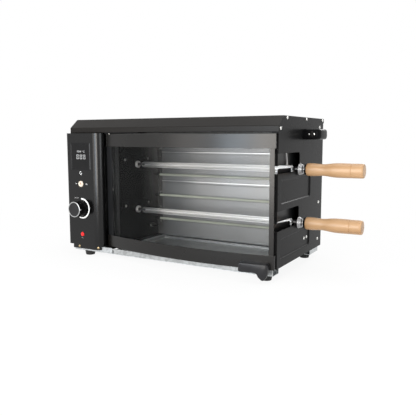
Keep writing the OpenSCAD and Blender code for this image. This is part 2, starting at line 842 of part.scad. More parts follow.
// Rotating socket with a square hole for the skewer's tang
module drive_socket(z) {
    half = tang / 2 + tang_gap;
    x1 = oven_left_x + run_gap + socket_len;
    color("#9a9a98") home() difference() {
        union() {
            bar_x(oven_left_x + run_gap, socket_len, skewer_y, z, socket_r);
            bar_x(oven_left_x - wall_t - socket_shaft_len + run_gap, socket_shaft_len + wall_t + socket_len / 2,
                skewer_y, z, socket_shaft_r);
        }
        block([tang_x0 - run_gap, skewer_y - half, z - half], [x1 + cut, skewer_y + half, z + half]);
        translate([x1 - socket_r / 4, skewer_y, z]) rotate([0, 90, 0])
            cylinder(h = socket_r / 4 + cut / 8, r1 = half, r2 = socket_r * 0.8);
    }
}

// Blade: a V-shaped strip with a square tang at one end and a rod at the other
module skewer_blade(z) {
    tip_y = blade_back - blade_half;
    in_off = blade_t * sqrt(0.5);
    color("#c9cac8") home() translate([0, skewer_y, z]) {
        intersection() {
            slab_x(blade_x0, taper_x1 - blade_x0) polygon([
                [tip_y, blade_half], [blade_back, 0], [tip_y, -blade_half],
                [tip_y - in_off, -blade_half + in_off], [blade_back - 2 * in_off, 0],
                [tip_y - in_off, blade_half - in_off]
            ]);
            slab_y(-2 * blade_half, 4 * blade_half) polygon([
                [blade_x0, -tang / 2], [blade_x0 + tang, -blade_half], [taper_x0, -blade_half],
                [taper_x1, -rod_r / 2], [taper_x1, rod_r / 2], [taper_x0, blade_half],
                [blade_x0 + tang, blade_half], [blade_x0, tang / 2]
            ]);
        }
        difference() {
            block([tang_x0, -tang / 2, -tang / 2], [blade_x0 + tang, tang / 2, tang / 2]);
            block([blade_x0 + tang / 4, -tang, -tang], [blade_x0 + 2 * tang, blade_back - 2 * in_off - cut, tang]);
        }
        bar_x(rod_x0, grip_x + rod_in_grip - rod_x0, 0, 0, rod_r);
    }
}

// Guard: a cone, a journal that lies in the slot, a disc and a grooved collar
module skewer_guard(z) {
    bore = rod_r + fit_gap;
    x_journal = guard_cone_len;
    x_disc = guard_disc_x - guard_x0;
    x_collar = x_disc + guard_disc_t;
    groove = collar_len / (2 * collar_grooves + 1);
    color("#c4c5c4") home() translate([guard_x0, skewer_y, z]) rotate([0, 90, 0]) difference() {
        rotate_extrude() polygon([
            [bore, 0], [bore + blade_t / 2, 0], [journal_r, x_journal], [journal_r, x_disc],
            [guard_r - guard_disc_t / 2, x_disc], [guard_r, x_disc + guard_disc_t / 2],
            [guard_r - guard_disc_t / 2, x_collar], [collar_r, x_collar + guard_disc_t / 4],
            [collar_r, x_collar + collar_len], [bore, x_collar + collar_len]
        ]);
        for (i = [1 : collar_grooves]) translate([0, 0, x_collar + (2 * i - 1) * groove]) difference() {
            cylinder(h = groove, r = collar_r + cut);
            translate([0, 0, -cut]) cylinder(h = groove + 2 * cut, r = collar_r - collar_groove);
        }
    }
}

// Black cap on the end of the wooden handle
module skewer_ferrule(z) {
    color("#191919") home() translate([ferrule_x, skewer_y, z]) rotate([0, 90, 0]) difference() {
        cylinder(h = ferrule_t, r1 = ferrule_r - ferrule_t / 4, r2 = ferrule_r);
        translate([0, 0, -cut]) cylinder(h = ferrule_t + 2 * cut, r = rod_r + fit_gap);
    }
}

// Turned wooden handle with one groove near its end
module skewer_handle(z) {
    groove_x = grip_groove_share * grip_len;
    color("#d8a871") home() translate([grip_x, skewer_y, z]) rotate([0, 90, 0]) difference() {
        rotate_extrude() polygon(concat(
            [[0, 0]], [for (s = grip_shares) [s[1] * grip_r, s[0] * grip_len]], [[0, grip_len]]));
        translate([0, 0, groove_x]) difference() {
            cylinder(h = grip_groove_w, r = grip_r + cut);
            translate([0, 0, -cut]) cylinder(h = grip_groove_w + 2 * cut, r = grip_r - grip_groove_d);
        }
        translate([0, 0, -cut]) cylinder(h = rod_in_grip + 2 * cut, r = rod_r + fit_gap);
    }
}

// Control panel's plan outline: face, bent inner corner and side walls
module control_plan(grow) {
    r = control_bend_r - grow;
    side_y = jamb_y;
    difference() {
        union() {
            translate([grow, panel_y + grow])
                square([control_w - 2 * grow - r, side_y - panel_y - grow + (grow > 0 ? cut : 0)]);
            translate([grow, panel_y + grow + r])
                square([control_w - 2 * grow, side_y - panel_y - grow - r + (grow > 0 ? cut : 0)]);
            translate([control_w - grow - r, panel_y + grow + r]) circle(r = r);
        }
    }
}

// Folded control panel: open at the back, notched at its lower left corner
module control_panel() {
    color("#3a3a3a") home() difference() {
        union() {
            difference() {
                translate([0, 0, -control_drop]) linear_extrude(panel_top_z + control_drop) control_plan(0);
                translate([0, 0, -control_drop - cut])
                    linear_extrude(panel_top_z + control_drop - sheet_t + cut) control_plan(sheet_t);
                block([-cut, 0, -control_drop - cut], [control_w - sheet_t, jamb_y + cut, panel_top_z - sheet_t]);
                block([-cut, 0, -control_drop - cut], [control_w - 2 * sheet_t, jamb_y + cut, panel_top_z + cut]);
                block([-cut, -front_rail_out - run_gap, -control_drop - cut], [control_w + cut, jamb_y + cut, run_gap]);
            }
            for (x = [-1, 1], z = [-1, 1])
                bar_y(panel_in_y - sheet_t / 2, window_rim_t + board_gap + sheet_t / 2,
                    controls_x + x * (display_w / 2 + window_rim + stud_share * stud_r),
                    display_z + display_h / 2 + z * (display_h / 2 + window_rim + stud_share * stud_r), stud_r);
        }
        block([-cut, panel_y - cut, -control_drop - cut], [notch_w, panel_in_y + cut, notch_z]);
        block([controls_x - display_w / 2, panel_y - cut, display_z],
            [controls_x + display_w / 2, panel_in_y + cut, display_z + display_h]);
        bar_y(panel_y - cut, sheet_t + 2 * cut, controls_x, button_z, button_r + 2 * fit_gap);
        bar_y(panel_y - cut, sheet_t + 2 * cut, controls_x, knob_z, bush_r + fit_gap);
        bar_y(panel_y - cut, sheet_t + 2 * cut, controls_x, lamp_z, lamp_r + fit_gap);
        for (x = control_screw_xs) bar_y(panel_y - cut, sheet_t + 2 * cut, x, control_screw_z, screw_hole_r);
    }
}

module display_window() {
    x = controls_x - display_w / 2;
    color("#0d0d0f") home() {
        block([x + fit_gap, panel_y, display_z + fit_gap],
            [x + display_w - fit_gap, panel_in_y + window_rim_t / 2, display_z + display_h - fit_gap]);
        block([x - window_rim, panel_in_y, display_z - window_rim],
            [x + display_w + window_rim, panel_in_y + window_rim_t, display_z + display_h + window_rim]);
    }
}

// Board behind the window, with the display block that meets it
module display_board() {
    x0 = controls_x - display_w / 2;
    y0 = panel_in_y + window_rim_t + board_gap;
    color("#1d5a3a") home() {
        block([x0 - board_margin, y0, display_z - board_margin],
            [x0 + display_w + board_margin, y0 + board_t, display_z + display_h + board_margin]);
        block([x0 + board_margin, panel_in_y + window_rim_t, display_z + board_margin],
            [x0 + display_w - board_margin, y0 + board_t / 2, display_z + display_h - board_margin]);
    }
}

// Knob: a tapered drum on a skirt, with its own shaft
module knob() {
    drum_len = knob_len - knob_ring_t;
    color("#161616") home() translate([controls_x, panel_y - knob_gap, knob_z]) rotate([90, 0, 0]) {
        difference() {
            union() {
                cylinder(h = knob_skirt_h, r = knob_r);
                translate([0, 0, knob_skirt_h]) cylinder(h = knob_skirt_t, r1 = knob_r, r2 = knob_front_r);
                cylinder(h = drum_len, r = knob_front_r);
            }
            translate([0, 0, -cut]) cylinder(h = knob_bore_depth + cut, r = knob_front_r - knob_wall);
        }
        translate([0, 0, -control_body.y]) cylinder(h = drum_len + control_body.y - cut, r = shaft_r);
    }
}

// Metal ring and front disc of the knob
module knob_cap() {
    y1 = panel_y - knob_gap - knob_len + knob_ring_t;
    color("#b8bab9") home() translate([controls_x, y1, knob_z]) rotate([90, 0, 0]) difference() {
        cylinder(h = knob_ring_t, r1 = knob_front_r, r2 = knob_front_r - knob_ring_t / 2);
        translate([0, 0, knob_ring_t / 2]) cylinder(h = knob_ring_t, r = knob_front_r - knob_ring_w);
    }
}

// Rotary control whose threaded bush holds it in the panel
module rotary_control() {
    color("#5b5e60") home() difference() {
        union() {
            block([controls_x - control_body.x / 2, panel_in_y, knob_z - control_body.z / 2],
                [controls_x + control_body.x / 2, panel_in_y + control_body.y, knob_z + control_body.z / 2]);
            bar_y(panel_y, sheet_t + cut, controls_x, knob_z, bush_r);
        }
        bar_y(panel_y - cut, control_body.y + cut, controls_x, knob_z, shaft_r + fit_gap);
    }
}

module power_button() {
    color("#e6dcc6") home() {
        translate([controls_x, panel_y - button_out, button_z]) rotate([-90, 0, 0]) rotate_extrude() polygon([
            [0, 0], [button_r - button_edge, 0], [button_r, button_edge], [button_r, button_len],
            [stem_r, button_len], [stem_r, button_len + stem_len], [0, button_len + stem_len]
        ]);
    }
}

// Switch body clipped behind the panel, with the button's guide bore
module power_switch() {
    y0 = panel_y - button_out + button_len + button_travel + run_gap;
    color("#202020") home() difference() {
        union() {
            block([controls_x - switch_body.x / 2, y0, button_z - switch_body.z / 2],
                [controls_x + switch_body.x / 2, y0 + switch_body.y, button_z + switch_body.z / 2]);
            difference() {
                block([controls_x - switch_body.x / 2, panel_in_y, button_z - switch_body.z / 2],
                    [controls_x + switch_body.x / 2, y0 + cut, button_z + switch_body.z / 2]);
                bar_y(panel_in_y - cut, y0 - panel_in_y + cut, controls_x, button_z, button_r + 2 * fit_gap);
            }
        }
        bar_y(y0 - cut, stem_len + button_travel + cut, controls_x, button_z, stem_r + fit_gap);
    }
}

module indicator_lamp() {
    color("#e02020") home() {
        translate([controls_x, panel_in_y, lamp_z]) rotate([90, 0, 0]) rotate_extrude() polygon([
            [0, -lamp_len], [lamp_body_r, -lamp_len], [lamp_body_r, -sheet_t], [lamp_r + sheet_t, -sheet_t],
            [lamp_r + sheet_t, 0], [lamp_r, 0], [lamp_r, sheet_t + lamp_out],
            [lamp_r / 2, sheet_t + lamp_out + lamp_dome], [0, sheet_t + lamp_out + lamp_dome]
        ]);
    }
}

// A block that stands on the power board, from its place and size in depth and height
module board_block(low, size) {
    translate([board_x + board_t / 2, board_y0 + low[0], board_z0 + low[1]])
        cube([size.x + board_t / 2, size.y, size.z]);
}

// Power board on studs off the left side panel, with its main components
module power_board() {
    color("#2a6b45") home() {
        translate([board_x, board_y0, board_z0]) cube(board_size);
        for (y = board_stud_shares, z = board_stud_shares)
            bar_x(sheet_t, board_x - sheet_t + board_t / 2, board_y0 + y * board_size.y,
                board_z0 + z * board_size.z, board_stud_r);
        board_block(transformer_low, transformer_size);
        board_block(relay_low, relay_size);
        board_block(heatsink_low, heatsink_size);
        bar_x(board_x + board_t / 2, board_t / 2 + capacitor_len,
            board_y0 + capacitor_spot[0], board_z0 + capacitor_spot[1], capacitor_r);
    }
}

// Power inlet on the back panel, with three blades in its well
module power_inlet() {
    y0 = body_d;
    color("#151515") home() difference() {
        union() {
            block([inlet_x - inlet_flange.x / 2, y0, inlet_z - inlet_flange.y / 2],
                [inlet_x + inlet_flange.x / 2, y0 + inlet_flange_t, inlet_z + inlet_flange.y / 2]);
            block([inlet_x - inlet_body.x / 2, y0 - inlet_body_d, inlet_z - inlet_body.y / 2],
                [inlet_x + inlet_body.x / 2, y0 + inlet_flange_t / 2, inlet_z + inlet_body.y / 2]);
        }
        difference() {
            block([inlet_x - inlet_well.x / 2, y0 + inlet_flange_t - inlet_well_d, inlet_z - inlet_well.y / 2],
                [inlet_x + inlet_well.x / 2, y0 + inlet_flange_t + cut, inlet_z + inlet_well.y / 2]);
            for (i = [-1, 0, 1]) translate([
                inlet_x + i * inlet_pin_pitch, y0 + inlet_flange_t - inlet_well_d,
                inlet_z + (i == 0 ? inlet_pin_rise : -inlet_pin_rise / 2)
            ]) block([-inlet_pin.x / 2, -cut, -inlet_pin.y / 2], [inlet_pin.x / 2, inlet_pin_len, inlet_pin.y / 2]);
        }
        for (s = [-1, 1]) bar_y(y0 - cut, inlet_flange_t + 2 * cut, inlet_x + s * inlet_screw_half, inlet_z, screw_r);
    }
}

// Angle of a place along the door, seen from the centre of its arc
function door_angle(x) = asin((x - door_cx) / door_r);

// A curved band of the door between two radii, two places and two heights
module door_band(r0, r1, x0, x1, z0, z1) {
    translate([door_cx, door_cy, 0]) rotate([0, 0, door_angle(x0) - 90])
        rotate_extrude(angle = door_angle(x1) - door_angle(x0), $fn = arc_fn)
            translate([r0, z0]) square([r1 - r0, z1 - z0]);
}

// Moves to a place on the door's arc: -Y points straight out of the door
module on_door(x) {
    translate([door_cx, door_cy, 0]) rotate([0, 0, door_angle(x)]) children();
}

// A rail: curved web, one flange, and a closed end on each side
module door_rail(z0, z1, flange_z) {
    door_band(door_r - sheet_t, door_r, door_x0, door_x1, z0, z1);
    door_band(door_r - door_flange_d, door_r - sheet_t / 2, door_x0, door_x1, flange_z, flange_z + sheet_t);
    door_band(door_r - door_end_d, door_r - sheet_t / 2, door_x0, door_x0 + sheet_t, z0, z1);
    door_band(door_r - door_flange_d, door_r - sheet_t / 2, door_x1 - sheet_t, door_x1, z0, z1);
}

module door_top_rail() {
    color("#5c5955") home() difference() {
        door_rail(door_z1 - door_rail_h, door_z1, door_z1 - sheet_t);
        bar_z(door_z1 - sheet_t - cut, sheet_t + 2 * cut, hinge_x, hinge_y, pin_r + fit_gap);
    }
}

module door_bottom_rail() {
    color("#3c3b3a") home() difference() {
        door_rail(door_z0, door_z0 + door_rail_h, door_z0);
        bar_z(door_z0 - cut, sheet_t + 2 * cut, hinge_x, hinge_y, pin_r + fit_gap);
        for (s = [-1, 1]) on_door(door_grip_x) translate([s * door_grip_w / 3, -door_r - cut, door_screw_z])
            rotate([-90, 0, 0]) cylinder(h = 3 * sheet_t + cut, r = screw_hole_r);
    }
}

// Stiles run behind both rails
module door_stile(x0, x1) {
    door_band(stile_out_r - sheet_t, stile_out_r, x0, x1,
        door_z0 + glass_margin, door_z1 - glass_margin);
}

module door_left_stile() {
    color("#353433") home() door_stile(door_x0 + 2 * sheet_t, door_x0 + left_stile_w);
}

module door_right_stile() {
    color("#4a4947") home() door_stile(door_x1 - right_stile_w, door_x1 - 2 * sheet_t);
}

module door_glass() {
    color("#9fb4b4", 0.3) home() door_band(glass_in_r, glass_out_r,
        door_x0 + glass_end_gap, door_x1 - glass_end_gap,
        door_z0 + glass_margin, door_z1 - glass_margin);
}

// Curved strips behind the glass, standing on the rails' flanges
module glass_retainers() {
    x1 = door_x1 - right_stile_w / 2;
    z0 = door_z0 + sheet_t;
    z1 = door_z1 - sheet_t;
    color("#2c2b2a") home() {
        door_band(retainer_out_r - sheet_t, retainer_out_r, retainer_x0, x1, z0, z0 + retainer_h);
        door_band(retainer_out_r - sheet_t, retainer_out_r, retainer_x0, x1, z1 - retainer_h, z1);
    }
}

// Grip on the bottom rail, with a finger tab at its outer end
module door_handle() {
    half = door_grip_w / 2;
    y0 = -door_r - door_grip_d;
    tab_x1 = half - door_tab_inset;
    tab_r = door_tab_w / 2;
    color("#1a1a1a") home() difference() {
        on_door(door_grip_x) {
            translate([0, 0, door_grip_z]) linear_extrude(door_grip_h)
                soft_rect([-half, y0], [half, -door_r + 2 * door_grip_round], door_grip_round);
            slab_y(y0, door_tab_t) {
                translate([tab_x1 - door_tab_w, door_grip_z - door_tab_drop + tab_r])
                    square([door_tab_w, door_tab_drop - tab_r + door_grip_h / 2]);
                translate([tab_x1 - tab_r, door_grip_z - door_tab_drop + tab_r]) circle(r = tab_r);
            }
        }
        translate([door_cx, door_cy, door_grip_z - door_tab_drop - cut])
            cylinder(h = door_tab_drop + door_grip_h + 2 * cut, r = door_r, $fn = arc_fn);
        for (s = [-1, 1]) on_door(door_grip_x) translate([s * door_grip_w / 3, -door_r - door_grip_d / 2, door_screw_z])
            rotate([-90, 0, 0]) cylinder(h = door_grip_d, r = screw_r);
    }
}

// Headed pins in the door's flanges, on one upright axis
module door_hinge_pins() {
    top = lip_z - run_gap;
    low = door_z0 - run_gap - hinge_plate_t;
    color("#b0b0ae") home() {
        bar_z(door_z1 - sheet_t - pin_head_h, pin_head_h, hinge_x, hinge_y, pin_head_r);
        bar_z(door_z1 - sheet_t - pin_head_h, top - door_z1 + sheet_t + pin_head_h, hinge_x, hinge_y, pin_r);
        bar_z(door_z0 + sheet_t, pin_head_h, hinge_x, hinge_y, pin_head_r);
        bar_z(low, door_z0 + sheet_t + pin_head_h - low, hinge_x, hinge_y, pin_r);
    }
}

// Upper hinge plate under the cover's return
module upper_hinge_bracket() {
    color("#333333") home() difference() {
        block([hinge_x - 2 * pin_head_r, 2 * sheet_t, lip_z - hinge_plate_t],
            [hinge_x - 2 * pin_head_r + hinge_plate_w, oven_front_y - run_gap, lip_z]);
        bar_z(lip_z - hinge_plate_t - cut, hinge_plate_t + 2 * cut, hinge_x, hinge_y, pin_r + fit_gap);
    }
}

// Lower hinge bracket, standing on the front rail
module lower_hinge_bracket() {
    x1 = rail_left_end;
    x0 = x1 - hinge_block_w;
    z1 = door_z0 - run_gap;
    z0 = z1 - hinge_plate_t;
    y0 = -front_rail_out + sheet_t;
    color("#a8acac") home() difference() {
        union() {
            block([x0, y0, z0], [x1, jamb_y, z1]);
            block([x0, y0, -base_h + sheet_t], [x0 + hinge_plate_t, jamb_y, z1]);
        }
        bar_z(z0 - cut, hinge_plate_t + 2 * cut, hinge_x, hinge_y, pin_r + fit_gap);
    }
}

// Bar section of a side grip: upright with round ends
module grip_section() {
    r = side_grip_t / 2;
    translate([-r, -(side_grip_h / 2 - r)]) square([side_grip_t, side_grip_h - side_grip_t]);
    for (s = [-1, 1]) translate([0, s * (side_grip_h / 2 - r)]) circle(r = r);
}

// U-shaped grip for the left side: two legs, two corners and the bar between them
module side_grip() {
    r = side_grip_t / 2;
    bend = side_grip_t * 0.75;
    reach = side_grip_out - r - bend;
    span = side_grip_l - side_grip_t - 2 * bend;
    translate([0, side_grip_y + r, side_grip_z]) {
        for (y = [0, span + 2 * bend]) translate([0, y, 0])
            rotate([90, 0, -90]) linear_extrude(reach) grip_section();
        translate([-reach, bend, 0]) rotate([0, 0, 180])
            rotate_extrude(angle = 90) translate([bend, 0]) grip_section();
        translate([-reach, span + bend, 0]) rotate([0, 0, 90])
            rotate_extrude(angle = 90) translate([bend, 0]) grip_section();
        translate([-reach - bend, bend + span, 0]) rotate([90, 0, 0]) linear_extrude(span) grip_section();
    }
}

module side_grip_left() {
    color("#171717") home() side_grip();
}

module side_grip_right() {
    color("#171717") home() translate([body_w, 0, 0]) mirror([1, 0, 0]) side_grip();
}

// Screws through both side panels at the given depths and heights
module panel_screws(spots, len, sunk) {
    for (spot = spots) {
        translate([sunk, spot[0], spot[1]]) rotate([0, -90, 0]) screw(len);
        translate([body_w - sunk, spot[0], spot[1]]) rotate([0, 90, 0]) screw(len);
    }
}

module cover_screws() {
    color("#d8d8d6") home() panel_screws(cover_screw_spots, 2 * sheet_t, 0);
}

module side_screws() {
    color("#d8d8d6") home() {
        panel_screws(side_screw_spots, sheet_t, 0);
        panel_screws(field_screw_spots, sheet_t, field_depth);
    }
}

// Screws that hold the control panel to the front rail
module control_screws() {
    color("#c9a24a") home() for (x = control_screw_xs)
        translate([x, panel_y, control_screw_z]) rotate([90, 0, 0]) screw(control_out - front_rail_out + sheet_t);
}

// Screws that hold the gear motors, seen inside the oven
module motor_screws() {
    color("#8f8f8c") home() for (z = skewer_zs, s = [-1, 1])
        translate([oven_left_x, skewer_y + s * ear_half, z + motor_offset]) rotate([0, 90, 0]) screw(wall_t + ear_t);
}

// Screws of the power inlet
module inlet_screws() {
    color("#9a9a98") home() for (s = [-1, 1])
        translate([inlet_x + s * inlet_screw_half, body_d + inlet_flange_t, inlet_z])
            rotate([-90, 0, 0]) screw(inlet_flange_t + sheet_t);
}

// Screws of the door's grip, seated on the inside of the curved rail
module door_grip_screws() {
    spot = door_grip_w / 3;
    sag = door_r - sqrt(door_r * door_r - (spot + screw_head_r) * (spot + screw_head_r));
    color("#9a9a98") home() for (s = [-1, 1]) on_door(door_grip_x)
        translate([s * spot, -door_r + sheet_t + sag, door_screw_z])
            rotate([-90, 0, 0]) screw(sheet_t + door_grip_d / 2 - cut);
}

top_cover();
left_side_panel();
right_side_panel();
back_panel();
front_base_rail();
rear_base_rail();
tray_runners();
drip_tray();
feet();
left_bulkhead();
left_jamb();
right_inner_wall();
back_reflector();
ceiling();
heater_tube(heater_high_z);  // heater_tube_top
heater_tube(heater_mid_z);  // heater_tube_middle
heater_tube(heater_low_z);  // heater_tube_bottom
heater_brackets();
temperature_probe();
gear_motor(skewer_zs[1]);  // gear_motor_upper
gear_motor(skewer_zs[0]);  // gear_motor_lower
drive_socket(skewer_zs[1]);  // drive_socket_upper
drive_socket(skewer_zs[0]);  // drive_socket_lower
skewer_blade(skewer_zs[1]);  // skewer_blade_upper
skewer_guard(skewer_zs[1]);  // skewer_guard_upper
skewer_ferrule(skewer_zs[1]);  // skewer_ferrule_upper
skewer_handle(skewer_zs[1]);  // skewer_handle_upper
skewer_blade(skewer_zs[0]);  // skewer_blade_lower
skewer_guard(skewer_zs[0]);  // skewer_guard_lower
skewer_ferrule(skewer_zs[0]);  // skewer_ferrule_lower
skewer_handle(skewer_zs[0]);  // skewer_handle_lower
control_panel();
display_window();
display_board();
knob();
knob_cap();
rotary_control();
power_button();
power_switch();
indicator_lamp();
power_board();
power_inlet();
door_top_rail();
door_bottom_rail();
door_left_stile();
door_right_stile();
door_glass();
glass_retainers();
door_handle();
door_hinge_pins();
upper_hinge_bracket();
lower_hinge_bracket();
side_grip_left();
side_grip_right();
cover_screws();
side_screws();
control_screws();
motor_screws();
inlet_screws();
door_grip_screws();
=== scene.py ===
import math

import bmesh
import bpy
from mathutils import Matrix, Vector
from mathutils.geometry import tessellate_polygon

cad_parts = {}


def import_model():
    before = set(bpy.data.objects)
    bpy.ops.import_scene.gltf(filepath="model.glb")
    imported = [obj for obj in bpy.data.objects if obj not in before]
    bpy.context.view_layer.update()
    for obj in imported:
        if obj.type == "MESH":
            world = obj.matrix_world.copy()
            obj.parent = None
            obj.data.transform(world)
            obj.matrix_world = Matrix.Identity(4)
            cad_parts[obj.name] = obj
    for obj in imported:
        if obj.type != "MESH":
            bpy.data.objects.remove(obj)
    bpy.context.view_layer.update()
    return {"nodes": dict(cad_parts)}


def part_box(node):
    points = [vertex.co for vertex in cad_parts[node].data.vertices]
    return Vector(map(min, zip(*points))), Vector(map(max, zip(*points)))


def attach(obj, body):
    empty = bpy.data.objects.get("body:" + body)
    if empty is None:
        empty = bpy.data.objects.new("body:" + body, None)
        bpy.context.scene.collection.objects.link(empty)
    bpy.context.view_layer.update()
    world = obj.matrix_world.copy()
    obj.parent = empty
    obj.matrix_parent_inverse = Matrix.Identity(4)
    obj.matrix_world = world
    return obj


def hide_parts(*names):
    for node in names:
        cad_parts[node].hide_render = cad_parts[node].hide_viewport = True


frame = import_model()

# Working frame: millimetres, X from the body's left side, Y from its front plane
# to the back, Z from the side panels' bottom edge, as in the part's source.
MM = 0.001
X0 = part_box("top_cover")[0][0]
Y0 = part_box("left_side_panel")[0][1]
Z0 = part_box("left_side_panel")[0][2]

W, D, H = 533.0, 272.0, 298.0
T = 1.2
LIP_Z = 267.0
CHAMFER_D, CHAMFER_H = 24.0, 20.0
OVEN_X, OVEN_D = 112.0, 199.0
INNER_X = 518.2
CEILING_Z = 262.0
PANEL_W, PANEL_Y = 99.0, -13.0
CX = 41.5
SKEWERS = {"upper": 0.71 * LIP_Z, "lower": 0.29 * LIP_Z}
SKEWER_Y = 0.553 * OVEN_D

# Door arc in plan
DOOR_A, DOOR_B, BOW = (103.0, 6.0), (532.6, -11.0), 23.0
CHORD = math.hypot(DOOR_B[0] - DOOR_A[0], DOOR_B[1] - DOOR_A[1])
DOOR_R = CHORD * CHORD / (8 * BOW) + BOW / 2
REACH = (DOOR_R - BOW) / CHORD
DOOR_CX = (DOOR_A[0] + DOOR_B[0]) / 2 + (DOOR_A[1] - DOOR_B[1]) * REACH
DOOR_CY = (DOOR_A[1] + DOOR_B[1]) / 2 + (DOOR_B[0] - DOOR_A[0]) * REACH
DOOR_TOP = 264.0


def put(p):
    return (X0 + p[0] * MM, Y0 + p[1] * MM, Z0 + p[2] * MM)


# ---- outlines -------------------------------------------------------------

def fillet(points, r, closed=True, n=5):
    """The outline with rounded corners. r is one radius or one for each point."""
    out = []
    m = len(points)
    for i, p in enumerate(points):
        rr = r[i] if isinstance(r, (list, tuple)) else r
        if rr <= 0 or (not closed and i in (0, m - 1)):
            out.append(tuple(p))
            continue
        c = Vector(p)
        a = Vector(points[i - 1]) - c
        b = Vector(points[(i + 1) % m]) - c
        la, lb = a.length, b.length
        a.normalize()
        b.normalize()
        ang = math.acos(max(-1, min(1, a.dot(b))))
        if ang > math.pi - 0.02:
            out.append(tuple(p))
            continue
        d = min(rr / math.tan(ang / 2), 0.49 * la, 0.49 * lb)
        rr = d * math.tan(ang / 2)
        mid = c + (a + b).normalized() * (rr / math.sin(ang / 2))
        s, e = c + a * d - mid, c + b * d - mid
        a0 = math.atan2(s.y, s.x)
        da = math.atan2(e.y, e.x) - a0
        da = (da + math.pi) % (2 * math.pi) - math.pi
        for k in range(n + 1):
            t = a0 + da * k / n
            out.append((mid.x + rr * math.cos(t), mid.y + rr * math.sin(t)))
    return out


def offset_line(line, d):
    """An open line moved sideways by d."""
    out = []
    for i in range(len(line)):
        p = Vector(line[i])
        a = (p - Vector(line[i - 1])).normalized() if i else None
        b = (Vector(line[i + 1]) - p).normalized() if i < len(line) - 1 else None
        if a is None:
            t, k = b, 1.0
        elif b is None:
            t, k = a, 1.0
        else:
            t = (a + b).normalized()
            k = 1.0 / max(0.3, t.dot(b))
        out.append((p.x - t.y * d * k, p.y + t.x * d * k))
    return out


def strip(points, t, r, n=5):
    """Outline of a bent sheet of thickness t along an open line of points."""
    line = fillet(points, r, closed=False, n=n)
    return offset_line(line, t / 2) + offset_line(line, -t / 2)[::-1]


def ring(cx, cy, r, n=32, a0=0.0):
    return [(cx + r * math.cos(a0 + 2 * math.pi * i / n), cy + r * math.sin(a0 + 2 * math.pi * i / n)) for i in range(n)]


def rect(x0, y0, x1, y1, r=0.0, n=5):
    pts = [(x0, y0), (x1, y0), (x1, y1), (x0, y1)]
    return fillet(pts, r, n=n) if r > 0 else pts


# ---- solids: each returns (verts, faces) in millimetres --------------------

def loft(rings, close=True, caps=(True, True)):
    n = len(rings[0])
    verts = [tuple(p) for r in rings for p in r]
    faces = []
    for k in range(len(rings) - 1):
        for i in range(n if close else n - 1):
            a, b = k * n + i, k * n + (i + 1) % n
            faces.append((a, b, b + n, a + n))
    if caps[0]:
        faces.append(tuple(range(n - 1, -1, -1)))
    if caps[1]:
        faces.append(tuple(range(len(verts) - n, len(verts))))
    return verts, faces


def at(axis, u, v, w):
    """Outline point (u, v) at w along the axis: x takes (y, z), y takes (x, z), z takes (x, y)."""
    return {"x": (w, u, v), "y": (u, w, v), "z": (u, v, w)}[axis]


def prism(outline, axis, a, b):
    return loft([[at(axis, u, v, w) for u, v in outline] for w in (a, b)])


def plate(outline, holes, axis, a, b, open_holes=()):
    """A flat sheet with holes. open_holes get no wall: something else closes them."""
    loops = [outline] + list(holes) + list(open_holes)
    tris = tessellate_polygon([[Vector((u, v, 0)) for u, v in l] for l in loops])
    flat = [p for l in loops for p in l]
    n = len(flat)
    verts = [at(axis, u, v, a) for u, v in flat] + [at(axis, u, v, b) for u, v in flat]
    faces = [tuple(t) for t in tris] + [tuple(i + n for i in reversed(t)) for t in tris]
    base = 0
    for k, l in enumerate(loops):
        if k <= len(holes):
            for i in range(len(l)):
                p, q = base + i, base + (i + 1) % len(l)
                faces.append((p, q, q + n, p + n))
        base += len(l)
    return verts, faces


def lathe(profile, axis, cu, cv, w0, sign=1, n=48):
    """Profile of (radius, height) turned about an axis through (cu, cv), heights from w0."""
    rings = []
    for r, h in profile:
        rings.append([at(axis, cu + r * math.cos(2 * math.pi * i / n), cv + r * math.sin(2 * math.pi * i / n),
                         w0 + sign * h) for i in range(n)])
    closed = profile[0][0] == profile[-1][0] and profile[0][1] == profile[-1][1]
    return loft(rings, caps=(not closed, not closed))


def block(lo, hi):
    return prism(rect(lo[0], lo[1], hi[0], hi[1]), "z", lo[2], hi[2])


def sweep(path, section, up=(0, 0, 1), closed=False):
    """A section (side, up) carried along a path in space."""
    up = Vector(up)
    rings = []
    m = len(path)
    for i in range(m):
        p = Vector(path[i])
        a = Vector(path[i - 1]) if i or closed else p
        b = Vector(path[(i + 1) % m]) if i < m - 1 or closed else p
        t = (b - a).normalized()
        side = t.cross(up).normalized()
        v = side.cross(t)
        rings.append([tuple(p + side * s + v * u) for s, u in section])
    if closed:
        rings.append(rings[0])
    return loft(rings, caps=(not closed, not closed))


def on_arc(x, d=0.0):
    """A place on the door: d millimetres inside its outer skin at width x."""
    s = (x - DOOR_CX) / DOOR_R
    c = math.sqrt(1 - s * s)
    return (DOOR_CX + (DOOR_R - d) * s, DOOR_CY - (DOOR_R - d) * c)


def bowed(section, x0, x1, n=64):
    """A section of (depth, height) carried along the door's arc."""
    rings = []
    for i in range(n + 1):
        x = x0 + (x1 - x0) * i / n
        rings.append([(*on_arc(x, d), z) for d, z in section])
    return loft(rings)


def moved(geo, f):
    return [f(v) for v in geo[0]], geo[1]


def mirrored(geo):
    """The same shape on the other side of the body."""
    return moved(geo, lambda v: (W - v[0], v[1], v[2]))


# ---- objects --------------------------------------------------------------

def finish_mesh(mesh, weld, angle, keep_sharp):
    bm = bmesh.new()
    bm.from_mesh(mesh)
    if weld:
        bmesh.ops.remove_doubles(bm, verts=bm.verts, dist=weld * MM)
    bmesh.ops.recalc_face_normals(bm, faces=bm.faces)
    bm.to_mesh(mesh)
    bm.free()
    mesh.shade_smooth()
    if keep_sharp:
        mesh.set_sharp_from_angle(angle=math.radians(angle))


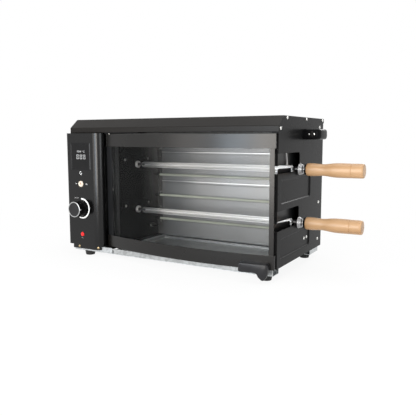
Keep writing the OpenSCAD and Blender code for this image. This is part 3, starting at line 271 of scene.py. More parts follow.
def piece(name, geos, mats, body="body", replaces=(), bevel=0.0, segs=2, angle=34, weld=0.001, tags=None):
    """One object from several solids. mats is one material, or a list that tags index by solid."""
    verts, faces, ids = [], [], []
    for k, (vs, fs) in enumerate(geos):
        base = len(verts)
        verts += [put(v) for v in vs]
        faces += [tuple(i + base for i in f) for f in fs]
        ids += [tags[k] if tags else 0] * len(fs)
    mesh = bpy.data.meshes.new(name)
    mesh.from_pydata(verts, [], faces)
    for m in (mats if isinstance(mats, (list, tuple)) else [mats]):
        mesh.materials.append(m)
    mesh.polygons.foreach_set("material_index", ids)
    finish_mesh(mesh, weld, angle, not bevel)
    obj = bpy.data.objects.new(name, mesh)
    bpy.context.scene.collection.objects.link(obj)
    dress(obj, body, replaces, bevel, segs, angle)
    return obj


def dress(obj, body, replaces, bevel, segs=2, angle=34):
    if bevel:
        mod = obj.modifiers.new("edges", "BEVEL")
        mod.width = bevel * MM
        mod.segments = segs
        mod.limit_method = "ANGLE"
        mod.angle_limit = math.radians(angle)
        mod.harden_normals = False
        wn = obj.modifiers.new("normals", "WEIGHTED_NORMAL")
        wn.keep_sharp = True
        wn.weight = 80
    if replaces:
        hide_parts(*replaces)
    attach(obj, body)


def soft_copy(node, mat, body="body", bevel=0.25, segs=2, name=None):
    """A copy of a CAD node with merged flat faces and rounded edges."""
    src = frame["nodes"][node]
    mesh = src.data.copy()
    mesh.name = name or node + "_piece"
    mesh.materials.clear()
    mesh.materials.append(mat)
    bm = bmesh.new()
    bm.from_mesh(mesh)
    bmesh.ops.remove_doubles(bm, verts=bm.verts, dist=0.00001)
    bmesh.ops.dissolve_limit(bm, angle_limit=math.radians(0.6), verts=bm.verts, edges=bm.edges)
    bmesh.ops.recalc_face_normals(bm, faces=bm.faces)
    bm.to_mesh(mesh)
    bm.free()
    mesh.polygons.foreach_set("material_index", [0] * len(mesh.polygons))
    mesh.shade_smooth()
    if not bevel:
        mesh.set_sharp_from_angle(angle=math.radians(34))
    obj = bpy.data.objects.new(name or node + "_piece", mesh)
    bpy.context.scene.collection.objects.link(obj)
    dress(obj, body, (node,), bevel, segs)
    return obj


# ---- materials ------------------------------------------------------------

class Mat:
    """A principled material with procedural layers. Scales are features per metre."""

    def __init__(self, name, color, rough=0.5, metal=0.0, spec=0.5, coat=0.0, coat_rough=0.08, ior=None, alpha=None, aniso=0.0):
        self.m = bpy.data.materials.new(name)
        self.m.use_nodes = True
        nt = self.nt = self.m.node_tree
        self.n = nt.nodes
        self.l = nt.links
        b = self.b = self.n["Principled BSDF"]
        b.inputs["Base Color"].default_value = (*color, 1)
        b.inputs["Roughness"].default_value = rough
        b.inputs["Metallic"].default_value = metal
        b.inputs["Specular IOR Level"].default_value = spec
        b.inputs["Coat Weight"].default_value = coat
        b.inputs["Coat Roughness"].default_value = coat_rough
        b.inputs["Anisotropic"].default_value = aniso
        if ior:
            b.inputs["IOR"].default_value = ior
        if alpha is not None:
            b.inputs["Alpha"].default_value = alpha
        self.color = color
        self.coord = self.n.new("ShaderNodeTexCoord").outputs["Object"]
        self.height = None
        self.tint = None

    def mapped(self, stretch=(1, 1, 1), turn=(0, 0, 0), shift=(0, 0, 0)):
        mp = self.n.new("ShaderNodeMapping")
        mp.inputs["Scale"].default_value = stretch
        mp.inputs["Rotation"].default_value = turn
        mp.inputs["Location"].default_value = shift
        self.l.new(self.coord, mp.inputs["Vector"])
        return mp.outputs["Vector"]

    def noise(self, scale, detail=3.0, rough=0.5, stretch=(1, 1, 1), distortion=0.0, turn=(0, 0, 0)):
        t = self.n.new("ShaderNodeTexNoise")
        t.inputs["Scale"].default_value = scale
        t.inputs["Detail"].default_value = detail
        t.inputs["Roughness"].default_value = rough
        t.inputs["Distortion"].default_value = distortion
        self.l.new(self.mapped(stretch, turn), t.inputs["Vector"])
        return t.outputs["Fac"]

    def cells(self, scale, feature="F1", out="Distance", stretch=(1, 1, 1), randomness=1.0):
        t = self.n.new("ShaderNodeTexVoronoi")
        t.feature = feature
        t.inputs["Scale"].default_value = scale
        t.inputs["Randomness"].default_value = randomness
        self.l.new(self.mapped(stretch), t.inputs["Vector"])
        return t.outputs[out]

    def span(self, src, lo, hi, low_in=0.3, high_in=0.7):
        """src mapped to lo..hi."""
        r = self.n.new("ShaderNodeMapRange")
        r.inputs["From Min"].default_value = low_in
        r.inputs["From Max"].default_value = high_in
        r.inputs["To Min"].default_value = lo
        r.inputs["To Max"].default_value = hi
        self.l.new(src, r.inputs["Value"])
        return r.outputs["Result"]

    def math(self, op, a, b):
        m = self.n.new("ShaderNodeMath")
        m.operation = op
        for i, v in enumerate((a, b)):
            if isinstance(v, (int, float)):
                m.inputs[i].default_value = v
            else:
                self.l.new(v, m.inputs[i])
        return m.outputs[0]

    def rough_by(self, src, lo, hi, low_in=0.3, high_in=0.7):
        self.l.new(self.span(src, lo, hi, low_in, high_in), self.b.inputs["Roughness"])
        return self

    def ramp(self, src, stops):
        r = self.n.new("ShaderNodeValToRGB")
        e = r.color_ramp.elements
        while len(e) < len(stops):
            e.new(0.5)
        for el, (pos, col) in zip(e, stops):
            el.position = pos
            el.color = (*col, 1)
        self.l.new(src, r.inputs["Fac"])
        return r.outputs["Color"]

    def mix(self, kind, fac, a, b):
        m = self.n.new("ShaderNodeMix")
        m.data_type = "RGBA"
        m.blend_type = kind
        if isinstance(fac, (int, float)):
            m.inputs[0].default_value = fac
        else:
            self.l.new(fac, m.inputs[0])
        for i, v in ((6, a), (7, b)):
            if isinstance(v, tuple):
                m.inputs[i].default_value = (*v, 1)
            else:
                self.l.new(v, m.inputs[i])
        return m.outputs[2]

    def vary(self, src, amount=0.15, low_in=0.3, high_in=0.7):
        """Base colour made lighter and darker by src."""
        k = self.color
        lo = tuple(c * (1 - amount) for c in k)
        hi = tuple(min(1, c * (1 + amount)) for c in k)
        f = self.span(src, 0, 1, low_in, high_in)
        self.l.new(self.mix("MIX", f, lo, hi), self.b.inputs["Base Color"])
        return self

    def bump(self, src, dist, strength=1.0):
        """Relief of dist millimetres."""
        b = self.n.new("ShaderNodeBump")
        b.inputs["Distance"].default_value = dist * MM
        b.inputs["Strength"].default_value = strength
        self.l.new(src, b.inputs["Height"])
        if self.height is not None:
            self.l.new(self.height, b.inputs["Normal"])
        self.height = b.outputs["Normal"]
        self.l.new(self.height, self.b.inputs["Normal"])
        return self


def paint(name, color, rough=0.3, peel=0.012, spec=0.2):
    """Baked enamel: faint orange peel, dust-fine variation, soft handling haze."""
    m = Mat(name, color, rough=rough, spec=spec)
    m.vary(m.noise(14, 4), 0.07)
    haze = m.noise(7, 5, 0.6)
    m.rough_by(haze, rough - 0.025, rough + 0.035, 0.35, 0.65)
    m.bump(m.noise(520, 2, 0.5), peel, 0.5)
    return m.m


def painted_light_enamel(name, color, lit_colour, rough, spec):
    """Enamel with painted light: its colour grows paler towards the back and the top, standing in for the light that
    brightens the oven's back corner.
    """
    m = Mat(name, color, rough=rough, spec=spec)
    parts = m.n.new("ShaderNodeSeparateXYZ")
    m.l.new(m.coord, parts.inputs[0])
    back = m.span(parts.outputs["Y"], 0.0, 1.0, 0.0, 0.085)
    high = m.span(parts.outputs["Z"], 0.15, 1.0, 0.05, 0.25)
    share = m.math("MULTIPLY", m.math("POWER", back, 2.0), high)
    share = m.math("ADD", share, m.math("MULTIPLY", m.noise(30, 4), 0.005))
    m.l.new(m.mix("MIX", share, color, lit_colour), m.b.inputs["Base Color"])
    m.rough_by(m.noise(7, 5, 0.6), rough - 0.02, rough + 0.03, 0.35, 0.65)
    m.bump(m.noise(520, 2, 0.5), 0.003, 0.5)
    return m.m


def zinc(name, color=(0.55, 0.57, 0.58)):
    """Galvanised sheet with spangle: flat crystals of different tone and gloss."""
    m = Mat(name, color, rough=0.38, metal=0.9)
    crystal = m.cells(170, out="Color")
    tone = m.n.new("ShaderNodeRGBToBW")
    m.l.new(crystal, tone.inputs[0])
    fine = m.noise(900, 3)
    mixed = m.math("ADD", m.math("MULTIPLY", tone.outputs[0], 0.75), m.math("MULTIPLY", fine, 0.25))
    m.vary(mixed, 0.15, 0.2, 0.8)
    m.rough_by(mixed, 0.34, 0.5, 0.2, 0.8)
    m.bump(fine, 0.006, 0.4)
    return m.m


def brushed(name, color, rough=0.3, along="x", relief=0.0015, streak=0.1, metal=1.0):
    """Rolled or ground steel with fine lines along one axis."""
    m = Mat(name, color, rough=rough, metal=metal)
    s = {"x": (0.02, 1, 1), "y": (1, 0.02, 1), "z": (1, 1, 0.02)}[along]
    lines = m.noise(1400, 3, 0.6, stretch=s)
    broad = m.noise(28, 4, 0.6, stretch=tuple(max(0.15, k) for k in s))
    m.vary(lines, streak)
    both = m.math("ADD", m.math("MULTIPLY", lines, 0.7), m.math("MULTIPLY", broad, 0.3))
    m.rough_by(both, max(0.05, rough - 0.03), rough + 0.03, 0.35, 0.65)
    if relief:
        m.bump(lines, relief, 0.4)
    return m.m


def plastic(name, color, rough=0.45, grain=0.02, spec=0.5, coat=0.0):
    """Moulded plastic with a spark-eroded grain."""
    m = Mat(name, color, rough=rough, spec=spec, coat=coat)
    m.vary(m.noise(30, 4), 0.08)
    m.rough_by(m.noise(60, 4), max(0.05, rough - 0.06), rough + 0.06)
    if grain:
        m.bump(m.noise(1500, 2, 0.55), grain, 0.6)
    return m.m


def beech():
    """Turned and lacquered beech: long soft grain with short brown flecks."""
    m = Mat("beech", (0.72, 0.45, 0.235), rough=0.42, spec=0.4, coat=0.25, coat_rough=0.22)
    grain = m.noise(55, 5, 0.55, stretch=(0.12, 1, 1), distortion=0.7)
    rings = m.noise(16, 2, 0.5, stretch=(0.08, 1, 1), distortion=1.5)
    both = m.math("ADD", m.math("MULTIPLY", grain, 0.55), m.math("MULTIPLY", rings, 0.45))
    base = m.ramp(both, [(0.34, (0.30, 0.150, 0.065)), (0.46, (0.455, 0.268, 0.130)), (0.62, (0.545, 0.341, 0.186))])
    fleck = m.cells(420, out="Distance", stretch=(0.16, 1, 1))
    mask = m.span(fleck, 0.55, 0.0, 0.05, 0.16)
    col = m.mix("MIX", mask, base, (0.46, 0.235, 0.10))
    m.l.new(col, m.b.inputs["Base Color"])
    m.rough_by(grain, 0.36, 0.5)
    m.bump(grain, 0.03, 0.5)
    m.bump(fleck, 0.008, 0.4)
    return m.m


def clear_glass():
    """Toughened pane, drawn as a thin clear layer with a faint smear of haze."""
    m = Mat("door_glass", (0.01, 0.0115, 0.011), rough=0.2, ior=1.9, alpha=0.07)
    m.rough_by(m.noise(7, 4, 0.6), 0.16, 0.26)
    m.bump(m.noise(5, 2), 0.05, 0.15)
    return m.m


def metal_soot(name, color, rough, metal=0.9):
    m = Mat(name, color, rough=rough, metal=metal)
    m.vary(m.noise(60, 5, 0.65, stretch=(0.25, 1, 1)), 0.2)
    m.rough_by(m.noise(240, 4), rough - 0.08, rough + 0.1)
    m.bump(m.noise(900, 3), 0.02, 0.5)
    return m.m


def board_mat():
    m = Mat("circuit_board", (0.03, 0.17, 0.085), rough=0.4, spec=0.5)
    trace = m.cells(240, feature="DISTANCE_TO_EDGE", out="Distance", randomness=0.5)
    f = m.span(trace, 1, 0, 0.02, 0.07)
    m.l.new(m.mix("MIX", f, (0.02, 0.13, 0.06), (0.06, 0.27, 0.13)), m.b.inputs["Base Color"])
    m.bump(trace, 0.03, 0.4)
    return m.m


M = {
    "cover": paint("cover_enamel", (0.0050, 0.0038, 0.0028), 0.4, spec=0.22),
    "body": paint("body_enamel", (0.0125, 0.0125, 0.0128), 0.27, spec=0.042),
    "panel": paint("panel_enamel", (0.0018, 0.0018, 0.0019), 0.18, spec=0.38),
    "door": paint("door_enamel", (0.0026, 0.0020, 0.0014), 0.26, spec=0.42),
    "post": paint("post_enamel", (0.0085, 0.0088, 0.0095), 0.34, spec=0.12),
    "oven": paint("oven_enamel", (0.0022, 0.0023, 0.0025), 0.32, 0.003, 0.08),
    "jamb": paint("jamb_enamel", (0.010, 0.0105, 0.0115), 0.3, 0.003, 0.5),
    "zinc": zinc("galvanised_sheet"),
    "tray": zinc("tray_sheet", (0.40, 0.41, 0.41)),
    "rubber": plastic("foot_rubber", (0.014, 0.014, 0.014), 0.72, 0.05, 0.35),
    "steel": brushed("reflector_steel", (0.31, 0.31, 0.307), 0.47, "x", 0.001, 0.07),
    "oven_steel": brushed("oven_sheet_steel", (0.42, 0.42, 0.41), 0.36, "x", 0.0015, 0.1),
    # Ceiling steel darkened to paint the shade in the gap above the door.
    "ceiling": brushed("ceiling_steel_darkened_for_shade", (0.07, 0.07, 0.068), 0.4, "x", 0.001, 0.1),
    "sheath": metal_soot("heater_sheath", (0.47, 0.49, 0.41), 0.45, 0.1),
    "probe": brushed("probe_steel", (0.09, 0.09, 0.088), 0.3, "x", 0.0015, 0.1),
    "motor": metal_soot("motor_zinc", (0.4, 0.41, 0.43), 0.4),
    "socket": brushed("socket_steel", (0.62, 0.62, 0.61), 0.45, "x", 0.001, 0.1, 0.5),
    "skewer": brushed("skewer_steel", (0.60, 0.595, 0.585), 0.36, "x", 0.0, 0.04),
    # Bulkhead: painted light, paler towards the back corner and the top where the light falls.
    "bulkhead": painted_light_enamel("bulkhead_enamel", (0.0010, 0.0011, 0.0013), (0.34, 0.335, 0.33), 0.34, 0.02),
    # Bright steel for the skewer rods; it also paints highlight lines on the blade edges, the reflector beads and the
    # strip over the upper notch.
    "edge": brushed("polished_steel_and_highlight", (0.88, 0.88, 0.87), 0.34, "x", 0.0, 0.03),
    "bracket": brushed("bracket_steel", (0.13, 0.13, 0.128), 0.4, "z", 0.001, 0.08),
    "inner": paint("inner_wall_enamel", (0.008, 0.0083, 0.0086), 0.32, spec=0.2),
    # Dark steel for the skewers' tangs and the heater tubes' ends: painted shade where these parts sit in shadow.
    "tang": brushed("tang_steel_darkened_for_shade", (0.10, 0.10, 0.098), 0.4, "x", 0.0, 0.05),
    "chrome": brushed("guard_chrome", (0.40, 0.40, 0.405), 0.3, "y", 0.0, 0.04),
    "black": plastic("grip_plastic", (0.013, 0.013, 0.0145), 0.36, 0.02, 0.3),
    "ferrule": plastic("ferrule_plastic", (0.006, 0.006, 0.0062), 0.14, 0.0, 0.5),
    "gloss_black": plastic("side_grip_plastic", (0.005, 0.005, 0.0055), 0.24, 0.004, 0.05),
    "switch": plastic("switch_plastic", (0.022, 0.022, 0.023), 0.5, 0.02, 0.3),
    "wood": beech(),
    "window": plastic("smoked_window", (0.002, 0.002, 0.0024), 0.2, 0.0, 0.27),
    "segment": plastic("display_segments", (0.47, 0.47, 0.47), 0.5, 0.0),
    "amber": plastic("amber_mark", (0.36, 0.17, 0.09), 0.5, 0.0),
    "ink": plastic("white_ink", (0.86, 0.86, 0.85), 0.55, 0.01),
    "board": board_mat(),
    "faint_ink": plastic("thin_grey_ink", (0.36, 0.36, 0.36), 0.55, 0.01),
    "alu": brushed("knob_aluminium", (0.55, 0.56, 0.56), 0.3, "z", 0.0, 0.05),
    "knob": plastic("knob_plastic", (0.012, 0.012, 0.0125), 0.34, 0.015, 0.3),
    "drum": plastic("knob_drum_plastic", (0.003, 0.003, 0.0032), 0.36, 0.015, 0.08),
    "ivory": plastic("ivory_plastic", (0.66, 0.57, 0.47), 0.3, 0.01, 0.4, 0.1),
    "red": plastic("lamp_red", (0.72, 0.014, 0.016), 0.22, 0.0, 0.25, 0.3),
    "glass": clear_glass(),
    "screw": brushed("screw_zinc", (0.74, 0.74, 0.72), 0.26, "y", 0.0, 0.06),
    "dark_screw": brushed("dark_screw", (0.32, 0.32, 0.31), 0.4, "y", 0.0, 0.1),
    "brass": brushed("brass_screw", (0.46, 0.36, 0.21), 0.34, "y", 0.0, 0.06),
}


# ---- screws ---------------------------------------------------------------

def screw_shape(r=3.4, h=1.7, n=24):
    """Pan head along +Z with a cross recess, seated at the origin."""
    prof = [(r, 0.0), (r, h * 0.35), (r * 0.94, h * 0.62), (r * 0.8, h * 0.85), (r * 0.6, h)]
    rings = [[(q * math.cos(2 * math.pi * i / n), q * math.sin(2 * math.pi * i / n), z) for i in range(n)] for q, z in prof]
    verts, faces = loft(rings, caps=(True, False))
    arm, half = r * 0.5, r * 0.13
    cross = [(arm, -half), (arm, half), (half, half), (half, arm), (-half, arm), (-half, half),
             (-arm, half), (-arm, -half), (-half, -half), (-half, -arm), (half, -arm), (half, -half)]
    top = rings[-1]
    loops = [[Vector((x, y, 0)) for x, y, _ in top], [Vector((x, y, 0)) for x, y in cross]]
    tris = tessellate_polygon(loops)
    base = len(verts) - n
    c0 = len(verts)
    verts += [(x, y, h) for x, y in cross]
    faces += [tuple(base + i if i < n else c0 + i - n for i in t) for t in tris]
    c1 = len(verts)
    verts += [(x * 0.6, y * 0.6, h * 0.3) for x, y in cross]
    for i in range(12):
        j = (i + 1) % 12
        faces.append((c0 + i, c0 + j, c1 + j, c1 + i))
    faces.append(tuple(c1 + i for i in range(12)))
    return verts, faces


SCREW = screw_shape()


def screw(p, axis, sign=1, scale=1.0, turn=0.3):
    """A screw head on the face at p, pointing out along sign times the axis."""
    c, s = math.cos(turn), math.sin(turn)

    def f(v):
        a, b, h = v[0] * c - v[1] * s, v[0] * s + v[1] * c, v[2]
        a, b, h = a * scale, b * scale, h * scale * sign
        d = {"x": (h, a, b), "y": (a, h, b), "z": (a, b, h)}[axis]
        return (p[0] + d[0], p[1] + d[1], p[2] + d[2])

    return moved(SCREW, f)


# ---- body shell -----------------------------------------------------------

def build_cover():
    back = D + 4
    skin = strip([(0.6, LIP_Z), (0.6, H - CHAMFER_H - 0.2), (CHAMFER_D + 0.25, H - 0.6), (back - 0.6, H - 0.6),
                  (back - 0.6, H - 10)], T, 2.0, 6)
    geos = [prism(skin, "x", 0, W)]
    lip = strip([(0.7, LIP_Z + 3), (0.7, LIP_Z + 0.6), (23, LIP_Z + 0.6)], T, 0.9, 4)
    geos.append(prism(lip, "x", T + 0.05, W - T - 0.05))
    flange = [(T + 0.3, LIP_Z + 1.3), (T + 0.3, 277.4), (24.3, 296.7), (D - 4, 296.7), (D - 4, 269.2), (30, 269.2), (23, LIP_Z + 1.3)]
    for x in (T, W - 2 * T):
        geos.append(prism(fillet(flange, [0, 0, 0, 0, 3, 3, 0]), "x", x, x + T))
    piece("cover_sheet", geos, M["cover"], replaces=("top_cover",), bevel=0.22)


COVER_SCREWS = [(42.7, H - 4.2), (154.6, H - 4.2), (D - 7, H - 4.2), (9.6, LIP_Z + 6), (D - 27, H - 20)]
SIDE_SCREWS = [(D - 25, 106), (D - 27, 20)]
FIELD_SCREWS = [(159, 35), (175, 35.6)]
FIELDS = [(124.93, 174.07), (15.7, 58.43)]


def field_shell(z0, z1):
    """A pressed field of the left panel: smooth S-shaped walls, then a flat floor, in sheet thickness."""
    steps = [(0, 0), (0.5, 0.06), (1.0, 0.35), (1.6, 0.95), (2.2, 1.6), (2.8, 2.15), (3.4, 2.44), (4.0, 2.5)]
    out = []
    for inset, depth in steps:
        o = rect(15 + inset, z0 + inset, 190 - inset, z1 - inset, 8.5 - inset, 7)
        out.append([(depth, y, z) for y, z in o])
    inner = []
    for inset, depth in steps:
        o = rect(15 + inset, z0 + inset, 190 - inset, z1 - inset, 8.5 - inset, 7)
        inner.append([(depth + T, y, z) for y, z in o])
    return loft(out, caps=(False, True)), loft(inner, caps=(False, True))


def slot_outline(z):
    """Skewer slot of the right panel as (y, z): open at the front, seat at its end."""
    return fillet([(-3, z - 3.5), (102, z - 3.5), (102, z - 6.5), (118, z - 6.5), (118, z + 35.5), (-3, z + 35.5)],
                  [0, 1.0, 1.5, 1.5, 6.0, 0], n=6)


def panel_outline(slots):
    pts = [(0, 0), (D, 0), (D, H - T), (CHAMFER_D + 0.5, H - T), (T, H - CHAMFER_H - 0.6), (T, LIP_Z), (0, LIP_Z)]
    if not slots:
        return fillet(pts, [1, 1, 0, 0, 0, 0, 0], n=3)
    out = pts
    for z in (SKEWERS["upper"], SKEWERS["lower"]):
        out = out + fillet([(0, z + 35.5), (118, z + 35.5), (118, z - 6.5), (102, z - 6.5), (102, z - 3.5), (0, z - 3.5)],
                           [1.2, 6, 1.2, 1.2, 0.8, 4.0], closed=False, n=6)
    return out


def build_panels():
    for side in ("left", "right"):
        slots = side == "right"
        outline = panel_outline(slots)
        fields = [rect(15, z0, 190, z1, 8.5, 7) for z0, z1 in FIELDS]
        geos = [plate(outline, [], "x", 0, T, open_holes=fields)]
        for z0, z1 in FIELDS:
            geos += list(field_shell(z0, z1))
        spans = [(T, LIP_Z)]
        if slots:
            spans = [(T, 74), (113, 186), (225, LIP_Z)]
        for a, b in spans:
            geos.append(prism([(T - 0.2, 0), (T + 12, 0), (T + 12, T), (T - 0.2, T)], "z", a + 0.1, b))
        geos.append(block((T - 0.2, T + 0.1, 0), (T + 12, D - T - 0.1, T)))
        geos.append(block((T - 0.2, D - 2 * T, T + 0.1), (T + 12, D - T - 0.02, 268.4)))
        if slots:
            geos = [mirrored(g) for g in geos]
        piece(side + "_panel_sheet", geos, M["body"], replaces=(side + "_side_panel",), bevel=0.2, angle=40)


def build_back():
    holes = []
    for z in (130, 200):
        for i in range(7):
            x = 26 + 9 * i
            holes.append(rect(x, z, x + 3, z + 36, 1.49, 4))
    holes.append(rect(52 - 13.8, 46 - 10.05, 52 + 13.8, 46 + 10.05, 1.0, 2))
    geos = [plate(rect(T, 0, W - T, H - T), holes, "y", D - T, D)]
    piece("back_sheet", geos, M["body"], replaces=("back_panel",), bevel=0.2)


def build_base():
    rail_l, rail_r = OVEN_X + 13, W - 33
    x1 = W - 6.0
    top_end = rail_l - 26.3
    front = []
    channel = strip([(0, -0.9), (-4.4, -0.9), (-4.4, -13.4), (24.4, -13.4), (24.4, -0.6), (0.2, -0.6)], T, 1.2, 4)
    front.append(prism(channel, "x", 9, top_end))
    front.append(prism(channel, "x", rail_r, x1))
    low = strip([(-4.4, -8), (-4.4, -13.4), (25, -13.4)], T, 1.2, 4)
    web = strip([(-4.4, -0.4), (-4.4, -13.4), (25, -13.4)], T, 1.2, 4)
    front.append(prism(web, "x", top_end, rail_l))
    front.append(prism([(-5 + T, -14), (25, -14), (25, -14 + T), (-5 + T, -14 + T)], "x", rail_l, rail_r))
    lip = [(-5, -14), (-5 + T, -14), (-5 + T, -14 + T), (-5, -14 + T)]
    front.append(prism(lip, "x", rail_l, rail_r))
    piece("front_rail_sheet", front, M["zinc"], replaces=("front_base_rail",), bevel=0.2)
    rear = strip([(D - 58 + 0.0, -13.4), (D - 3.6, -13.4), (D - 3.6, -0.6), (D - 58, -0.6)], T, 1.4, 5)
    tab = block((x1 - T, D - 57, -13.2), (x1, D - 4, -0.8))
    piece("rear_rail_sheet", [prism(rear, "x", 9, x1), tab], M["zinc"], replaces=("rear_base_rail",), bevel=0.2)
    soft_copy("tray_runners", M["zinc"], bevel=0.2)


def build_tray():
    x0, x1 = OVEN_X + 13 + T + 1, W - 33 - T - 1
    y0, y1, zb, zt = -5.0, 205.0, -12.5, -4.6
    wall = T
    shell = []
    outer = rect(x0, y0, x1, y1, 2.0, 4)
    inner = rect(x0 + wall, y0 + 2 * wall, x1 - wall, y1 - wall, 1.2, 4)
    rings = [
        [(x, y, zb) for x, y in outer], [(x, y, zt) for x, y in outer],
        [(x, y, zt) for x, y in inner], [(x, y, zb + wall + 0.8) for x, y in inner],
        [(x * 0.997 + 0.94, y * 0.99 + 1.0, zb + wall) for x, y in inner],
    ]
    shell.append(loft(rings))
    shell.append(lathe([(1.2, 0), (1.2, x1 - x0 - 3)], "x", y0 + 1.2, zt - 0.9, x0 + 1.5, n=16))
    # The front wall stands up to the door's lower edge, and ends before the door's grip
    rise, flat_end, slope_end = -1.7, W - 103.0, W - 85.0
    front_wall = [(x0 + 0.5, zt - 2.0), (slope_end, zt - 2.0), (slope_end, zt - 0.2), (flat_end, rise), (x0 + 0.5, rise)]
    shell.append(plate(front_wall, [], "y", y0 + 0.1, y0 + 0.1 + wall))
    shell.append(lathe([(0.8, 0), (0.8, flat_end - x0 - 2)], "x", y0 + 0.9, rise - 0.4, x0 + 1.0, n=16))
    piece("drip_tray_pan", shell, M["tray"], body="tray", replaces=("drip_tray",), bevel=0.25)


def build_feet():
    prof = [(9.0, 0.0), (10.1, 0.25), (10.5, 0.9), (11.2, 4.2), (11.9, 8.3), (12.35, 9.4), (12.5, 10.1), (12.35, 10.8), (12.0, 11.0)]
    geos = []
    for x in (46, W - 25):
        for y in (7.6, D - 58 + 12.5 + 4):
            geos.append(lathe(prof, "z", x, y, -25, n=48))
            geos.append(lathe([(2.9, 0), (2.9, T + 0.6), (2.4, T + 1.2)], "z", x, y, -14, n=24))
    piece("rubber_feet", geos, M["rubber"], replaces=("feet",), angle=40)


# ---- oven -----------------------------------------------------------------

OVEN_Y = 20.8
OVEN_Y_WALL = 1.5


def build_jamb():
    """Angle beside the oven's left wall, with two pressed ribs and a screw between them."""
    geos = [block((PANEL_W - 12, OVEN_Y, 0.3), (OVEN_X + T, OVEN_Y + T, CEILING_Z - 0.3)),
            block((OVEN_X, OVEN_Y, 0.3), (OVEN_X + T, OVEN_Y + 18, CEILING_Z - 0.3))]
    rib = [(1.5 * math.sin(math.pi * i / 8), -1.3 * math.cos(math.pi * i / 8)) for i in range(9)]
    geos.append(prism([(104.3 + v, OVEN_Y + 0.2 - u) for u, v in rib], "z", 4, CEILING_Z - 4))
    geos.append(prism([(OVEN_X + T - 0.2 + u, 28.0 + v) for u, v in rib], "z", 4, CEILING_Z - 4))
    tags = [0] * len(geos)
    geos.append(screw((109.4, OVEN_Y, 134.4), "y", -1, 0.62))
    piece("jamb_angle", geos, [M["jamb"], M["screw"]], replaces=("left_jamb",), bevel=0.15, tags=tags + [1])


def build_inner_wall():
    """Right wall of the oven: a notch for each skewer, flanges to the body and a bright strip over the upper blade that
    paints a highlight line.
    """
    y0, y1 = OVEN_Y_WALL, OVEN_D
    seat0, seat1, dip, head = SKEWER_Y - 6.2, SKEWER_Y + 8.5, 7.2, 7.6
    x0, x1 = INNER_X, INNER_X + T
    line = [(y0, T), (y1, T), (y1, CEILING_Z), (y0, CEILING_Z)]
    for tag, lift, front in (("upper", 4.4, [(31.0, -dip), (y0, -dip)]), ("lower", 8.0, [(y0, 8.0)])):
        z = SKEWERS[tag]
        notch = [(y0, z + head + 4), (30.0, z + head + 3), (seat1, z + head), (seat1, z - dip), (seat0, z - dip), (seat0, z + 3.4),
                 (34.0, z + lift)] + [(y, z + dz) for y, dz in front]
        radii = [0.8, 5.0, 5.0, 5.0, 1.2, 1.2, 2.0, 4.0, 0.8]
        line += fillet(notch, radii[:len(notch)], closed=False, n=5)
    geos = [plate(line, [], "x", x0, x1)]
    levels = [T] + [v for z in sorted(SKEWERS.values()) for v in (z - dip, z + head + 4)] + [CEILING_Z]
    for a, b in zip(levels[0::2], levels[1::2]):
        geos.append(block((x1 - 0.2, y0, a), (W - T - 0.3, y0 + T, b)))
    geos.append(block((x1 - 0.2, y0 + T, T), (W - T - 3.4, y1, 2 * T)))
    geos.append(block((x1 - 0.2, y0 + T, CEILING_Z - T), (x0 + 12, y1, CEILING_Z)))
    piece("inner_wall_sheet", geos, M["inner"], replaces=("right_inner_wall",), bevel=0.2)
    # A bright strip above the upper notch paints a highlight line on the wall.
    z = SKEWERS["upper"]
    glint_line = fillet([(65.5, z + 36), (67.0, z + 31), (70.0, z + 19), (73.5, z + 10)], [0, 4, 8, 0], closed=False, n=5)
    band = offset_line(glint_line, 0.9) + offset_line(glint_line, -0.9)[::-1]
    piece("upper_notch_highlight_strip", [prism(band, "x", x1 - 0.1, x1 + 4.5)], M["edge"], bevel=0.25)


def build_oven_floor():
    """Strips beside the tray that close the oven's bottom."""
    geos = [block((OVEN_X + 0.1, 22, 0.2), (OVEN_X + 17, OVEN_D - 0.2, 1.2)), block((W - 36, 12, 0.2), (INNER_X - 0.1, OVEN_D - 0.2, 1.2))]
    piece("oven_floor_strips", geos, M["oven"], bevel=0.2)


